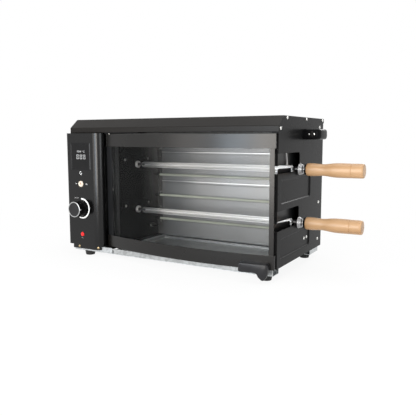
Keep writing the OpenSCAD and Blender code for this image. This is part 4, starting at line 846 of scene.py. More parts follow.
def build_oven():
    soft_copy("left_bulkhead", M["bulkhead"], bevel=0.2)
    build_jamb()
    build_inner_wall()
    # The ceiling takes the darkened steel that paints the shade above the door.
    soft_copy("ceiling", M["ceiling"], bevel=0.2)
    # Reflector with rolled beads
    line = [(OVEN_D + 0.6, T)]
    for z in (141.0, 216.0):
        line += [(OVEN_D + 0.6, z - 4.6)]
        for k in range(9):
            a = math.pi * (k / 8)
            line.append((OVEN_D + 0.6 - 0.5 * math.sin(a), z - 3.6 * math.cos(a)))
        line += [(OVEN_D + 0.6, z + 4.6)]
    line += [(OVEN_D + 0.6, CEILING_Z)]
    sec = offset_line(line, 0.6) + offset_line(line, -0.6)[::-1]
    geos = [prism(sec, "x", OVEN_X, INNER_X + T)]
    geos.append(block((OVEN_X, OVEN_D + 0.2, 0), (INNER_X - 0.6, D - 34, T)))
    tags = [0, 0]
    # Bright strips on the beads paint the beads' highlight lines.
    for z in (143.0, 217.6):
        highlight_ridge = [(OVEN_D + 0.3, z - 0.9), (OVEN_D - 0.5, z - 0.9), (OVEN_D - 0.5, z + 0.9), (OVEN_D + 0.3, z + 0.9)]
        geos.append(prism(highlight_ridge, "x", OVEN_X + 3, INNER_X - 2))
        tags.append(1)
    piece("reflector_sheet", geos, [M["steel"], M["edge"]], replaces=("back_reflector",), bevel=0.15,
          tags=tags)
    # Heating tubes with crimped ends and terminals; the ends take the dark steel that paints their shade.
    for tag, z in (("top", 160.0), ("middle", 106.5), ("bottom", 45.0)):
        xa, xb = OVEN_X - 14, 509.3
        cold, hot = OVEN_X + 15.5, INNER_X - 18.0
        left = [(2.2, 0), (3.0, 0.5), (3.25, 1.2), (3.25, 9.0), (3.0, 9.8), (3.0, 11.2), (3.25, 12.0), (3.25, cold - xa)]
        right = [(3.25, 0), (3.25, 4), (3.0, 5), (3.0, 6.4), (3.25, 7.2), (3.25, xb - hot - 1.2), (2.8, xb - hot - 0.3), (2.0, xb - hot)]
        y = OVEN_D - 11
        g = [lathe([(3.25, 0), (3.25, hot - cold)], "x", y, z, cold, n=24), lathe(left, "x", y, z, xa, n=24),
             lathe(right, "x", y, z, hot, n=24), lathe([(1.6, 0), (1.6, 8.4), (1.3, 9)], "x", y, z, xa, -1, 16)]
        piece("heating_tube_" + tag, g, [M["sheath"], M["tang"]], replaces=("heater_tube_" + tag,), angle=40,
              tags=[0, 1, 1, 1])
    # Brackets: upright strips with holes for the tubes, and rivets
    geos = []
    rivets = []
    for x in (OVEN_X + 14, INNER_X - 14):
        holes = [ring(OVEN_D - 11, z, 3.3, 20) for z in (45, 106.5, 160)]
        geos.append(plate(rect(OVEN_D - 18, 31, OVEN_D - 0.1, 224, 2.0, 4), holes, "x", x - 0.6, x + 0.6))
        for z in (37, 75, 114, 125, 167, 207):
            rivets.append(lathe([(2.3, 0), (2.3, 0.4), (1.6, 1.0), (0.6, 1.3)], "x", OVEN_D - 8.5, z, x - 0.6, -1, 16))
            rivets.append(lathe([(2.3, 0), (2.3, 0.4), (1.6, 1.0), (0.6, 1.3)], "x", OVEN_D - 8.5, z, x + 0.6, 1, 16))
    piece("tube_brackets", geos + rivets, [M["bracket"], M["screw"]], replaces=("heater_brackets",),
          bevel=0.15, tags=[0] * len(geos) + [1] * len(rivets))
    # Temperature probe with its flange, tip and two screws
    py, pz = 172, 28
    flange = fillet([(py - 12, pz - 3), (py - 6, pz - 5.5), (py + 6, pz - 5.5), (py + 12, pz - 3),
                     (py + 12, pz + 3), (py + 6, pz + 5.5), (py - 6, pz + 5.5), (py - 12, pz + 3)], 2.0, n=4)
    g = [plate(flange, [], "x", OVEN_X, OVEN_X + 1.5),
         lathe([(3, -9), (3, 15), (2.7, 16.8), (1.8, 17.8), (0.6, 18)], "x", py, pz, OVEN_X, 1, 24),
         lathe([(4.4, 0), (4.4, 1.6), (3.9, 3.0), (3.1, 3.2)], "x", py, pz, OVEN_X + 1.5, 1, 24)]
    g += [screw((OVEN_X + 1.5, py + s * 8.6, pz), "x", 1, 0.62) for s in (-1, 1)]
    piece("oven_probe", g, [M["probe"], M["screw"]], replaces=("temperature_probe",), angle=40,
          tags=[0, 0, 0, 1, 1])
    build_oven_floor()


def build_drive():
    for tag, z in SKEWERS.items():
        soft_copy("gear_motor_" + tag, M["motor"], bevel=0.4)
        # Socket: turned collar with a square hole and a chamfered mouth
        n = 32
        x0, x1 = OVEN_X + 0.3, OVEN_X + 6.3
        outer = [(7.4, x0), (8.2, x0 + 0.3), (8.5, x0 + 0.9), (8.5, x1 - 1.2), (8.1, x1 - 0.4), (7.2, x1)]
        rings = [[(x, SKEWER_Y + r * math.cos(2 * math.pi * i / n), z + r * math.sin(2 * math.pi * i / n)) for i in range(n)] for r, x in outer]

        def square(half, x):
            pts = []
            for i in range(n):
                a = 2 * math.pi * i / n
                k = half / max(abs(math.cos(a)), abs(math.sin(a)))
                pts.append((x, SKEWER_Y + k * math.cos(a), z + k * math.sin(a)))
            return pts

        rings += [[(x1 - 0.2, SKEWER_Y + 5.6 * math.cos(2 * math.pi * i / n), z + 5.6 * math.sin(2 * math.pi * i / n)) for i in range(n)]]
        rings += [square(3.66, x1 - 1.8), square(3.66, OVEN_X - 11.3)]
        g = [loft(rings)]
        g.append(lathe([(6.5, 0), (6.5, 16.2)], "x", SKEWER_Y, z, OVEN_X + 0.3, -1, 32))
        piece("drive_collar_" + tag, g, M["socket"], body=tag + "_socket",
              replaces=("drive_socket_" + tag,), angle=36)


BLADE_HALF = 6.2
BLADE_APEX = 2.6
BLADE_END = 517.2


def blade_section():
    """The V of a blade as (y, z): apex at the back, rounded edges to the front."""
    line = [(BLADE_APEX - BLADE_HALF - 0.6, BLADE_HALF), (BLADE_APEX - BLADE_HALF, BLADE_HALF - 0.2), (BLADE_APEX, 0.0),
            (BLADE_APEX - BLADE_HALF, -BLADE_HALF + 0.2), (BLADE_APEX - BLADE_HALF - 0.6, -BLADE_HALF)]
    soft = fillet(line, [0, 0.9, 1.6, 0.9, 0], closed=False, n=5)
    return fillet(offset_line(soft, 0.4) + offset_line(soft, -0.4)[::-1], 0.25, n=2)


def build_blade(tag, z):
    """A blade: V channel with a square tang on its left end and a rod on its right end."""
    section = blade_section()
    stations = [(129, 0.5), (131, 0.72), (134, 0.92), (138, 1.0), (BLADE_END - 30, 1.0), (BLADE_END - 15, 0.72), (BLADE_END, 0.36)]

    def height(x, k):
        """The right end keeps its upper edge while the lower one rises."""
        return 5.6 * (1 - k) if x > 300 else 0.0

    geos = [loft([[(x, SKEWER_Y + y * k, z + h * k + height(x, k)) for y, h in section] for x, k in stations])]
    # Bright beads along the blade's edges and apex paint its highlight lines.
    for y, h, r in ((BLADE_APEX - BLADE_HALF - 0.4, 6.15, 0.75), (BLADE_APEX - BLADE_HALF - 0.4, -6.15, 0.75), (BLADE_APEX - 1.2, 0, 0.7)):
        geos.append(loft([[(x, SKEWER_Y + (y + r * math.cos(a)) * k, z + (h + r * math.sin(a)) * k + height(x, k))
                           for a in (math.pi * i / 6 for i in range(12))] for x, k in stations]))
    # The tang takes the dark steel that paints the shade over it.
    tang = [(101, 2.7), (102.4, 3.5), (127, 3.5), (136, 2.2)]
    geos.append(loft([[(x, SKEWER_Y - h, z - h), (x, SKEWER_Y + h, z - h), (x, SKEWER_Y + h, z + h), (x, SKEWER_Y - h, z + h)]
                      for x, h in tang]))
    geos.append(lathe([(1.6, 0), (2.2, 1.5), (2.5, 4), (2.5, 76)], "x", SKEWER_Y, z, 509, 1, 24))
    piece("blade_" + tag, geos, [M["skewer"], M["tang"], M["edge"]], body=tag + "_skewer",
          replaces=("skewer_blade_" + tag,), angle=32, tags=[0, 2, 2, 2, 1, 2])


GUARD_PROFILE = [
    (2.55, 0), (3.2, 0.1), (3.8, 0.9), (5.6, 5.2), (6.3, 6.7), (6.45, 7.6), (6.45, 12.0), (6.9, 12.9), (8.6, 13.3), (10.8, 13.7),
    (12.0, 14.3), (12.5, 15.2), (12.3, 16.2), (11.7, 16.9), (11.3, 17.4), (11.3, 18.0), (11.4, 18.5), (11.0, 19.1), (10.4, 19.5),
    (10.3, 20.0), (10.4, 20.5), (10.0, 21.1), (9.3, 21.5), (9.2, 22.0), (9.2, 22.5), (8.2, 23.0), (2.55, 23.0), (2.55, 0)]
FERRULE_PROFILE = [(2.55, 0), (8.6, 0.2), (10.4, 0.8), (11.2, 1.8), (11.5, 3.0), (11.5, 5.4), (2.55, 5.4), (2.55, 0)]
HANDLE_PROFILE = [
    (0, 0.80), (0.004, 0.845), (0.014, 0.875), (0.04, 0.892), (0.1, 0.895), (0.15, 0.876), (0.2, 0.848), (0.25, 0.815),
    (0.29, 0.802), (0.335, 0.82), (0.38, 0.86), (0.43, 0.915), (0.48, 0.962), (0.53, 0.988), (0.58, 1.0), (0.64, 1.0), (0.7, 0.996),
    (0.76, 0.99), (0.784, 0.988), (0.787, 0.965), (0.7895, 0.94), (0.7945, 0.94), (0.797, 0.965), (0.8, 0.988), (0.86, 0.984),
    (0.93, 0.98), (0.965, 0.978), (0.98, 0.966), (0.99, 0.94), (0.997, 0.9), (1.0, 0.84)]
GUARD_X = 521.0
FERRULE_X = 547.4
HANDLE_X = 552.8
HANDLE_END = 669.0
HANDLE_R = 14.8


def build_skewers():
    for tag, z in SKEWERS.items():
        body = tag + "_skewer"
        build_blade(tag, z)
        piece("guard_" + tag, [lathe(GUARD_PROFILE, "x", SKEWER_Y, z, GUARD_X, 1, 56)], M["chrome"], body=body,
              replaces=("skewer_guard_" + tag,), angle=50)
        piece("ferrule_" + tag, [lathe(FERRULE_PROFILE, "x", SKEWER_Y, z, FERRULE_X, 1, 48)], M["ferrule"], body=body,
              replaces=("skewer_ferrule_" + tag,), angle=50)
        length = HANDLE_END - HANDLE_X
        profile = [(2.55, 0.02)] + [(HANDLE_R * r, length * share) for share, r in HANDLE_PROFILE] + [(1.2, length)]
        piece("handle_" + tag, [lathe(profile, "x", SKEWER_Y, z, HANDLE_X, 1, 64)], M["wood"], body=body,
              replaces=("skewer_handle_" + tag,), angle=42)


# ---- control column -------------------------------------------------------

def control_line(back_left=0.0, back_right=20.8):
    """Mid-line of the control panel's sheet in plan."""
    h = T / 2
    return [(h, back_left), (h, PANEL_Y + h), (82.0, PANEL_Y + h), (PANEL_W - h, PANEL_Y + h + 0.0), (PANEL_W - h, back_right)]


BEND_R = 20.0


def build_column():
    h = T / 2
    top = LIP_Z - 1.5
    # Face with its openings, between the two bends
    bend = BEND_R - h
    x_l, x_r = 1.9, PANEL_W - h - bend
    face = [(12, -8), (x_r, -8), (x_r, top), (x_l, top), (x_l, 1), (12, 1)]
    holes = [rect(CX - 25.5, 181, CX + 25.5, 243, 1.2, 3), ring(CX, 146.96, 7.1, 36), ring(CX, 89, 4.55, 24), ring(CX, 27, 4.55, 28)]
    geos = [plate(face, holes, "y", PANEL_Y, PANEL_Y + T)]
    # Right bend and side wall as one swept strip
    arc = [(x_r + bend * math.sin(math.pi * i / 40), PANEL_Y + h + bend * (1 - math.cos(math.pi * i / 40))) for i in range(21)]
    line = arc + [(PANEL_W - h, 20.8)]
    sec = offset_line(line, -h) + offset_line(line, h)[::-1]
    hang = [v for v in arc if v[1] < -5.3]
    hang_sec = offset_line(hang, -h) + offset_line(hang, h)[::-1]
    geos.append(prism(sec, "z", 0.3, top))
    geos.append(prism(hang_sec, "z", -8, 0.3))
    left = fillet([(x_l, PANEL_Y + h), (h, PANEL_Y + h), (h, 0)], [0, 1.2, 0], closed=False, n=4)
    left_sec = offset_line(left, -h) + offset_line(left, h)[::-1]
    geos.append(prism(left_sec, "z", 1, top))
    inner = offset_line(line, h * 0.98)[:-1]
    lid = [(T, PANEL_Y + T)] + inner + [(PANEL_W - T, 8), (T, 8)]
    geos.append(plate(lid, [], "z", top - T, top))
    piece("column_sheet", geos, M["panel"], replaces=("control_panel",), bevel=0.18, weld=0.004)
    # Window with a raised rim
    y = PANEL_Y
    w0, w1, z0, z1 = CX - 25.45, CX + 25.45, 181.05, 242.95
    steps = [(0.0, 0.02), (0.0, -0.2), (0.8, -0.62), (1.8, -0.92), (2.8, -1.0), (3.4, -0.9), (3.7, -0.6), (3.9, -0.25)]
    rings = []
    for k, d in steps:
        rim = rect(CX - 30.6 + k, 178.9 + k, CX + 30.6 - k, 243.6 - k, 1.8 - 0.3 * k, 4)
        rings.append([(x, y + d, z) for x, z in rim])
    geos = [loft(rings), block((w0 - 3, y + T, z0 - 3), (w1 + 3, y + T + 1.5, z1 + 3))]
    piece("display_pane", geos, M["window"], replaces=("display_window",), bevel=0.12, angle=40)
    soft_copy("display_board", M["board"], bevel=0.2)
    build_knob()
    build_button()
    # Lamp: domed red lens in a thin bezel
    prof = [(4.5, 0), (4.5, 1.3), (5.1, 1.35), (5.1, 1.7), (4.8, 2.2), (4.0, 2.6), (2.8, 2.8), (1.2, 2.85)]
    g = [lathe(prof, "y", CX, 27, PANEL_Y + T, -1, 40), lathe([(5.7, 0), (5.7, 1.2), (3.4, 1.4), (3.4, 16)], "y", CX, 27, PANEL_Y + T, 1, 32)]
    piece("lamp_lens", g, M["red"], replaces=("indicator_lamp",), angle=40)
    soft_copy("rotary_control", M["motor"], bevel=0.3)
    soft_copy("power_switch", M["switch"], bevel=0.3)
    build_board()
    build_inlet()
    build_marks()


def build_knob():
    k_r, k_f = KNOB_R, KNOB_R - 0.5
    y = PANEL_Y - 0.6
    n = 96
    prof = [(k_r - 0.8, 0.0), (k_r - 0.2, 0.25), (k_r, 0.8), (k_r, 3.2), (k_r - 0.5, 4.0)]
    rings = []
    for r, hh in prof:
        rings.append([(CX + r * math.cos(2 * math.pi * i / n), y - hh, 89 + r * math.sin(2 * math.pi * i / n)) for i in range(n)])
    # Finger grooves run along the drum
    for r, hh, deep in ((k_f, 4.6, 0.0), (k_f, 6.0, 0.35), (k_f, 22.6, 0.35), (k_f, 24.0, 0.0), (k_f - 0.3, 24.4, 0.0)):
        row = []
        for i in range(n):
            a = 2 * math.pi * i / n
            q = r - deep * (0.5 + 0.5 * math.cos(32 * a))
            row.append((CX + q * math.cos(a), y - hh, 89 + q * math.sin(a)))
        rings.append(row)
    geos = [loft(rings)]
    geos.append(lathe([(3.0, -9), (3.0, 0)], "y", CX, 89, y, -1, 24))
    piece("knob_drum", geos, M["drum"], body="knob", replaces=("knob",), angle=40)
    # Bright ring around a dark, finely turned front, with a pointer mark at its edge
    ring_prof = [(k_f - 2.0, 0.0), (k_f, 0.0), (k_f, 0.7), (k_f - 0.35, 1.3), (k_f - 0.8, 1.6), (k_f - 1.5, 1.6), (k_f - 2.0, 1.1), (k_f - 2.0, 0.0)]
    face = [(k_f - 2.0, 0.0), (k_f - 2.0, 0.7)]
    r = k_f - 2.2
    while r > 1.0:
        face += [(r, 0.7), (r - 0.3, 0.62), (r - 0.6, 0.7)]
        r -= 0.9
    face += [(0.4, 0.7)]
    y2 = y - 24.4
    geos = [lathe(ring_prof, "y", CX, 89, y2, -1, 96), lathe(face, "y", CX, 89, y2, -1, 96),
            prism(rect(CX + k_f - 0.5, 88.2, CX + k_f + 0.3, 90.0, 0.25, 3), "y", y2 - 0.9, y2 + 3.2)]
    piece("knob_ring", geos, [M["alu"], M["knob"], M["ink"]], body="knob", replaces=("knob_cap",),
          angle=40, tags=[0, 1, 2])


KNOB_R = 18.5


def build_button():
    y = PANEL_Y - 2.5
    prof = [(7.0, 6.5), (7.0, 1.1), (6.8, 0.5), (6.2, 0.12), (5.4, 0.0), (4.6, 0.1), (4.2, 0.45), (3.6, 0.6), (1.0, 0.6)]
    g = [lathe(prof, "y", CX, 147, y, 1, 44), lathe([(2.4, 6.5), (2.4, 14.5)], "y", CX, 147, y, 1, 24)]
    # Power sign: an open ring and a bar
    arc = [(CX + 2.3 * math.cos(a), 147 + 2.3 * math.sin(a)) for a in [math.radians(120 + 300 * i / 24) for i in range(25)]]
    g2 = [prism(offset_line(arc, 0.4) + offset_line(arc, -0.4)[::-1], "y", y + 0.45, y + 0.62),
          prism(rect(CX - 0.45, 147.2, CX + 0.45, 150.4, 0.3, 2), "y", y + 0.0, y + 0.62)]
    piece("power_cap", g + g2, [M["ivory"], M["amber"]], body="power_button", replaces=("power_button",),
          angle=40, tags=[0, 0, 1, 1])


def build_board():
    x1 = 9.6
    g = [block((8, 60, 70), (x1, 170, 200))]
    t = [0]
    for y in (68.8, 161.2):
        for z in (80.4, 189.6):
            g.append(lathe([(4, 0), (4, 6.8)], "x", y, z, T, 1, 20))
            t.append(1)
    parts = [((x1, 72, 90), (x1 + 24, 108, 120), 2), ((x1, 120, 92), (x1 + 16, 140, 120), 3), ((x1, 74, 144), (x1 + 14, 122, 160), 1)]
    for lo, hi, m in parts:
        g.append(block(lo, hi))
        t.append(m)
    for i in range(7):
        g.append(block((x1 + 14, 76 + 6.4 * i, 144), (x1 + 19, 78 + 6.4 * i, 160)))
        t.append(1)
    g.append(lathe([(9, 0), (9, 19.5), (8.6, 20.5), (8.0, 20.8), (8.0, 21.4), (8.6, 21.7), (8.6, 22)], "x", 144, 158, x1, 1, 32))
    t.append(2)
    piece("power_board_assembly", g, [M["board"], M["motor"], M["switch"], M["window"]],
          replaces=("power_board",), bevel=0.3, tags=t)


def build_inlet():
    ix, iz = 52.0, 46.0
    y = D
    shield = fillet([(ix - 25, iz - 5), (ix - 14, iz - 12), (ix + 14, iz - 12), (ix + 25, iz - 5), (ix + 25, iz + 5), (ix + 14, iz + 12),
                     (ix - 14, iz + 12), (ix - 25, iz + 5)], 3.0, n=5)
    well = fillet([(ix - 11, iz - 7.25), (ix + 11, iz - 7.25), (ix + 11, iz + 3.2), (ix + 6.5, iz + 7.25), (ix - 6.5, iz + 7.25), (ix - 11, iz + 3.2)], 1.5, n=4)
    g = [plate(shield, [ring(ix - 20, iz, 1.95, 20), ring(ix + 20, iz, 1.95, 20)], "y", y, y + 2.5, open_holes=[])]
    g = []
    holes = [ring(ix - 20, iz, 1.95, 20), ring(ix + 20, iz, 1.95, 20)]
    g.append(plate(shield, holes + [well], "y", y, y + 2.5))
    box = rect(ix - 13.5, iz - 9.75, ix + 13.5, iz + 9.75, 1.5, 4)
    g.append(plate(box, [well], "y", y - 13.5, y + 1.0))
    g.append(prism(box, "y", y - 22, y - 13.5))
    t = [0] * len(g)
    for i, up in ((-1, -1.75), (0, 3.5), (1, -1.75)):
        px, pz = ix + 7 * i, iz + up
        rings = [[(x, yy, z) for x, z in rect(px - s, pz - 2 * s, px + s, pz + 2 * s, 0.15, 2)] for s, yy in
                 ((1.0, y - 13.6), (1.0, y - 2.4), (0.6, y - 1.5))]
        g.append(loft(rings))
        t.append(1)
    piece("inlet_socket", g, [M["switch"], M["screw"]], replaces=("power_inlet",), bevel=0.25, tags=t)


# ---- marks printed on the panel -------------------------------------------

def text_geo(body, size, x, z, y, thick=0.06, align="CENTER"):
    """Flat lettering on the panel's face, as a mesh in millimetres."""
    cu = bpy.data.curves.new("mark", "FONT")
    cu.body = body
    cu.size = size
    cu.align_x = align
    cu.align_y = "CENTER"
    cu.extrude = thick / 2
    cu.resolution_u = 3
    o = bpy.data.objects.new("mark", cu)
    bpy.context.scene.collection.objects.link(o)
    dg = bpy.context.evaluated_depsgraph_get()
    me = bpy.data.meshes.new_from_object(o.evaluated_get(dg))
    verts = [(x + v.co.x, y - thick / 2 - v.co.z, z + v.co.y) for v in me.vertices]
    faces = [tuple(p.vertices) for p in me.polygons]
    bpy.data.objects.remove(o)
    bpy.data.curves.remove(cu)
    bpy.data.meshes.remove(me)
    return verts, faces


def arc_band(cx, cz, r0, r1, a0, a1, y, thick=0.05, n=60):
    pts = [(cx + r1 * math.cos(a0 + (a1 - a0) * i / n), cz + r1 * math.sin(a0 + (a1 - a0) * i / n)) for i in range(n + 1)]
    pts += [(cx + r0 * math.cos(a1 - (a1 - a0) * i / n), cz + r0 * math.sin(a1 - (a1 - a0) * i / n)) for i in range(n + 1)]
    return prism(pts, "y", y - thick, y)


DIAL_R = 24.4


def build_marks():
    y = PANEL_Y + 0.01
    g = []
    # Dial scale: a band that runs clockwise from the top and grows a little narrower
    n = 60
    outer, inner = [], []
    for i in range(n + 1):
        a = math.radians(93 - 203 * i / n)
        wide = 3.9 - 0.9 * i / n
        outer.append((CX + DIAL_R * math.cos(a), 89 + DIAL_R * math.sin(a)))
        inner.append((CX + (DIAL_R - wide) * math.cos(a), 89 + (DIAL_R - wide) * math.sin(a)))
    g.append(prism(outer + inner[::-1], "y", y - 0.05, y))
    # Open ring of the turning sign
    arc = [(41.2 + 3.1 * math.cos(a), 172.8 + 3.4 * math.sin(a)) for a in [math.radians(70 + 300 * i / 30) for i in range(31)]]
    g.append(prism(offset_line(arc, 0.55) + offset_line(arc, -0.55)[::-1], "y", y - 0.05, y))
    g.append(text_geo("OFF", 3.2, 26.6, 147, y))
    g.append(text_geo("ON", 3.9, 57.9, 146.8, y))
    faint = [text_geo("50-250°", 4.3, CX - 15.4, 113.0, y), text_geo("ON", 3.0, 40.4, 17.8, y)]
    tags = [0] * len(g) + [1] * len(faint)
    piece("panel_marks", g + faint, [M["ink"], M["faint_ink"]], angle=60, weld=0, tags=tags)
    yd = PANEL_Y - 0.27
    g = [text_geo("TEMP  °C", 6.0, 43.2, 222.6, yd)]
    t = [1]
    # Three seven-segment figures
    for k in range(3):
        cx, cz, hw, hh, s = 33.2 + 10.2 * k, 210.6, 2.2, 5.3, 1.5
        bars = [((-hw, hh - s), (hw, hh)), ((-hw, -s / 2), (hw, s / 2)), ((-hw, -hh), (hw, -hh + s)),
                ((-hw - s, 0.6), (-hw, hh - 0.4)), ((hw, 0.6), (hw + s, hh - 0.4)),
                ((-hw - s, -hh + 0.4), (-hw, -0.6)), ((hw, -hh + 0.4), (hw + s, -0.6))]
        for lo, hi in bars:
            g.append(prism(rect(cx + lo[0] + 0.2, cz + lo[1] + 0.15, cx + hi[0] - 0.2, cz + hi[1] - 0.15, 0.3, 2), "y", yd - 0.04, yd + 0.01))
            t.append(1)
    piece("display_figures", g, [M["ink"], M["segment"]], angle=60, weld=0, tags=t)


# ---- door -----------------------------------------------------------------

def build_door():
    x0, x1 = DOOR_A[0], DOOR_B[0]
    h = T / 2
    start, round_r = x0 - 2.6, 7.0
    turn = []
    for i in range(13):
        a = math.pi * i / 24
        x, y = on_arc(start + round_r, h)
        turn.append((x - (round_r - h) * math.sin(a), y + (round_r - h) * (1 - math.cos(a)) + 0.16 * (round_r - h) * math.sin(a)))
    turn_sec = offset_line(turn, h) + offset_line(turn, -h)[::-1]
    top = strip([(h, DOOR_TOP - 29), (h, DOOR_TOP - h), (9.5, DOOR_TOP - h)], T, 1.3, 5)
    low = strip([(9.5, h), (h, h), (h, 29)], T, 1.3, 5)
    ends = []
    for z0, z1 in ((DOOR_TOP - 28.8, DOOR_TOP - 0.7), (0.7, 28.8)):
        pair = []
        pair.append(prism(turn_sec, "z", z0 - 0.5, z1 + 0.5))
        pair.append(bowed([(0.5, z0), (9.5, z0), (9.5, z1), (0.5, z1)], x1 - T, x1, 1))
        ends.append(pair)
    piece("door_top_rail_sheet", [bowed(top, start + round_r - 0.1, x1)] + ends[0], M["door"], body="door",
          replaces=("door_top_rail",), bevel=0.25)
    piece("door_low_rail_sheet", [bowed(low, start + round_r - 0.1, x1)] + ends[1], M["door"], body="door",
          replaces=("door_bottom_rail",), bevel=0.25)
    zs = (9.0, DOOR_TOP - 9.0)
    d0, d1 = 1.25, 2.45
    for name, xa, xb, mat in (("left", x0 + 2 * T, x0 + 20, "post"), ("right", x1 - 12, x1 - 2 * T, "door")):
        g = [bowed([(d0, zs[0]), (d1, zs[0]), (d1, zs[1]), (d0, zs[1])], xa, xb, 8)]
        piece("door_" + name + "_stile_sheet", g, M[mat], body="door",
              replaces=("door_" + name + "_stile",), bevel=0.25)
    g = [bowed(fillet([(2.5, zs[0]), (6.5, zs[0]), (6.5, zs[1]), (2.5, zs[1])], 1.0, n=3), x0 + 3, x1 - 3, 72)]
    piece("door_pane", g, M["glass"], body="door", replaces=("door_glass",), bevel=0.3)
    g = []
    for za, zb in ((T, T + 20), (DOOR_TOP - T - 20, DOOR_TOP - T)):
        g.append(bowed([(6.55, za), (7.75, za), (7.75, zb), (6.55, zb)], x0 + 18, x1 - 7.5, 48))
    piece("pane_retainers", g, M["body"], body="door", replaces=("glass_retainers",), bevel=0.25)
    # Hinge pins with domed heads
    g = []
    for zh, sgn, tip in ((DOOR_TOP - T, -1, LIP_Z - 0.3), (T, 1, -2.8)):
        g.append(lathe([(4.0, 0), (4.0, 1.4), (3.6, 2.1), (2.6, 2.5), (1.0, 2.5)], "z", HINGE[0], HINGE[1], zh, sgn, 28))
        a, b = (zh, tip) if zh < tip else (tip, zh)
        g.append(lathe([(2.6, 0), (3.0, 0.4), (3.0, b - a - 0.4), (2.6, b - a)], "z", HINGE[0], HINGE[1], a, 1, 28))
    piece("hinge_pins", g, M["screw"], body="door", replaces=("door_hinge_pins",), angle=40)
    build_door_grip()
    soft_copy("upper_hinge_bracket", M["body"], bevel=0.3)
    soft_copy("lower_hinge_bracket", M["body"], bevel=0.3)


HINGE = (112.0, 9.5)


def build_door_grip():
    """Moulded grip: a rounded bar that turns down into a finger tab at its outer end."""
    gx = W - 39
    a = math.asin((gx - DOOR_CX) / DOOR_R)
    ca, sa = math.cos(a), math.sin(a)

    def world(lx, ly, z):
        """lx along the grip, ly out of the door."""
        r = DOOR_R + ly
        return (DOOR_CX + lx * ca + r * sa, DOOR_CY + lx * sa - r * ca, z)

    # Front outline of bar and tab, as (along, height)
    outline = fillet([(-30, -4), (7, -4), (10.5, -11.5), (18, -18), (22.5, -17.4), (27.5, -11), (30, -3.5), (30, 15), (-30, 15)],
                     [4, 7, 8, 5, 6, 8, 8, 6.5, 4.5], n=6)
    cx, cz = 4.0, 4.0
    rings = []
    # Depth steps from the door outwards, with the outline drawn in at both edges
    for out, k in ((0.1, 0.0), (9.0, 0.0), (13.5, 0.0), (15.4, 0.35), (16.5, 1.1), (17.0, 2.2)):
        row = []
        for lx, z in inset(outline, k):
            depth = out
            if z < -3.5 and out < 9.5:
                depth = max(out, 8.6)
            base = DOOR_R - math.sqrt(DOOR_R * DOOR_R - lx * lx)
            row.append(world(lx, max(depth, -base + 0.05) - (base if out < 1 else 0), z))
        rings.append(row)
    geos = [loft(rings)]
    piece("door_grip", geos, M["black"], body="door", replaces=("door_handle",), angle=50)


def inset(points, d):
    """A closed outline drawn in by d, for gentle shapes."""
    if d == 0:
        return list(points)
    area = sum(points[i][0] * points[(i + 1) % len(points)][1] - points[(i + 1) % len(points)][0] * points[i][1] for i in range(len(points)))
    s = 1 if area > 0 else -1
    out = []
    m = len(points)
    for i in range(m):
        p = Vector(points[i])
        a = (p - Vector(points[i - 1]))
        b = (Vector(points[(i + 1) % m]) - p)
        if a.length < 1e-6:
            a = b
        if b.length < 1e-6:
            b = a
        a.normalize()
        b.normalize()
        t = (a + b)
        if t.length < 1e-6:
            t = b
        t.normalize()
        k = 1.0 / max(0.5, t.dot(b))
        out.append((p.x - t.y * d * s * k, p.y + t.x * d * s * k))
    return out


# ---- grips and screws -----------------------------------------------------

def build_side_grips():
    r, bend, out, length = 7.0, 10.5, 36.0, 70.0
    zc, y0 = 262.0, 131.0
    n = 8
    ya, yb = y0 + r, y0 + length - r
    reach = out - r
    path = [(0.0, ya), (-(reach - bend), ya)]
    for i in range(1, n + 1):
        t = math.pi / 2 * i / n
        path.append((-(reach - bend) - bend * math.sin(t), ya + bend - bend * math.cos(t)))
    for i in range(n + 1):
        t = math.pi / 2 * i / n
        path.append((-(reach - bend) - bend * math.cos(t), yb - bend + bend * math.sin(t)))
    path.append((0.0, yb))
    clean = [path[0]]
    for p in path[1:]:
        if math.hypot(p[0] - clean[-1][0], p[1] - clean[-1][1]) > 0.01:
            clean.append(p)
    sec = []
    for i in range(40):
        a = 2 * math.pi * i / 40
        s, c = math.sin(a), math.cos(a)
        sec.append((7.0 * math.copysign(abs(c) ** 0.62, c), 11.0 * math.copysign(abs(s) ** 0.62, s)))
    path3 = [(x, y, zc) for x, y in clean]
    rings = []
    m = len(path3)
    for i, p in enumerate(path3):
        a = Vector(path3[max(0, i - 1)])
        b = Vector(path3[min(m - 1, i + 1)])
        t = (b - a).normalized()
        side = Vector((-t.y, t.x, 0))
        k = 1.0
        rings.append([(p[0] + side.x * s * k, p[1] + side.y * s * k, zc + u) for s, u in sec])
    bar = loft(rings)
    # Two bright screw heads on the front leg, which also paint the grip's two highlight spots.
    highlight_screws = [screw((-14.0, y0 + 0.35, zc), "y", -1, 0.62), screw((-25.0, y0 + 0.9, zc), "y", -1, 0.62)]
    for side in ("left", "right"):
        g = [bar] + highlight_screws
        if side == "right":
            g = [mirrored(k) for k in g]
        piece("carry_grip_" + side, g, [M["gloss_black"], M["screw"]], replaces=("side_grip_" + side,),
              angle=40, tags=[0, 1, 1])


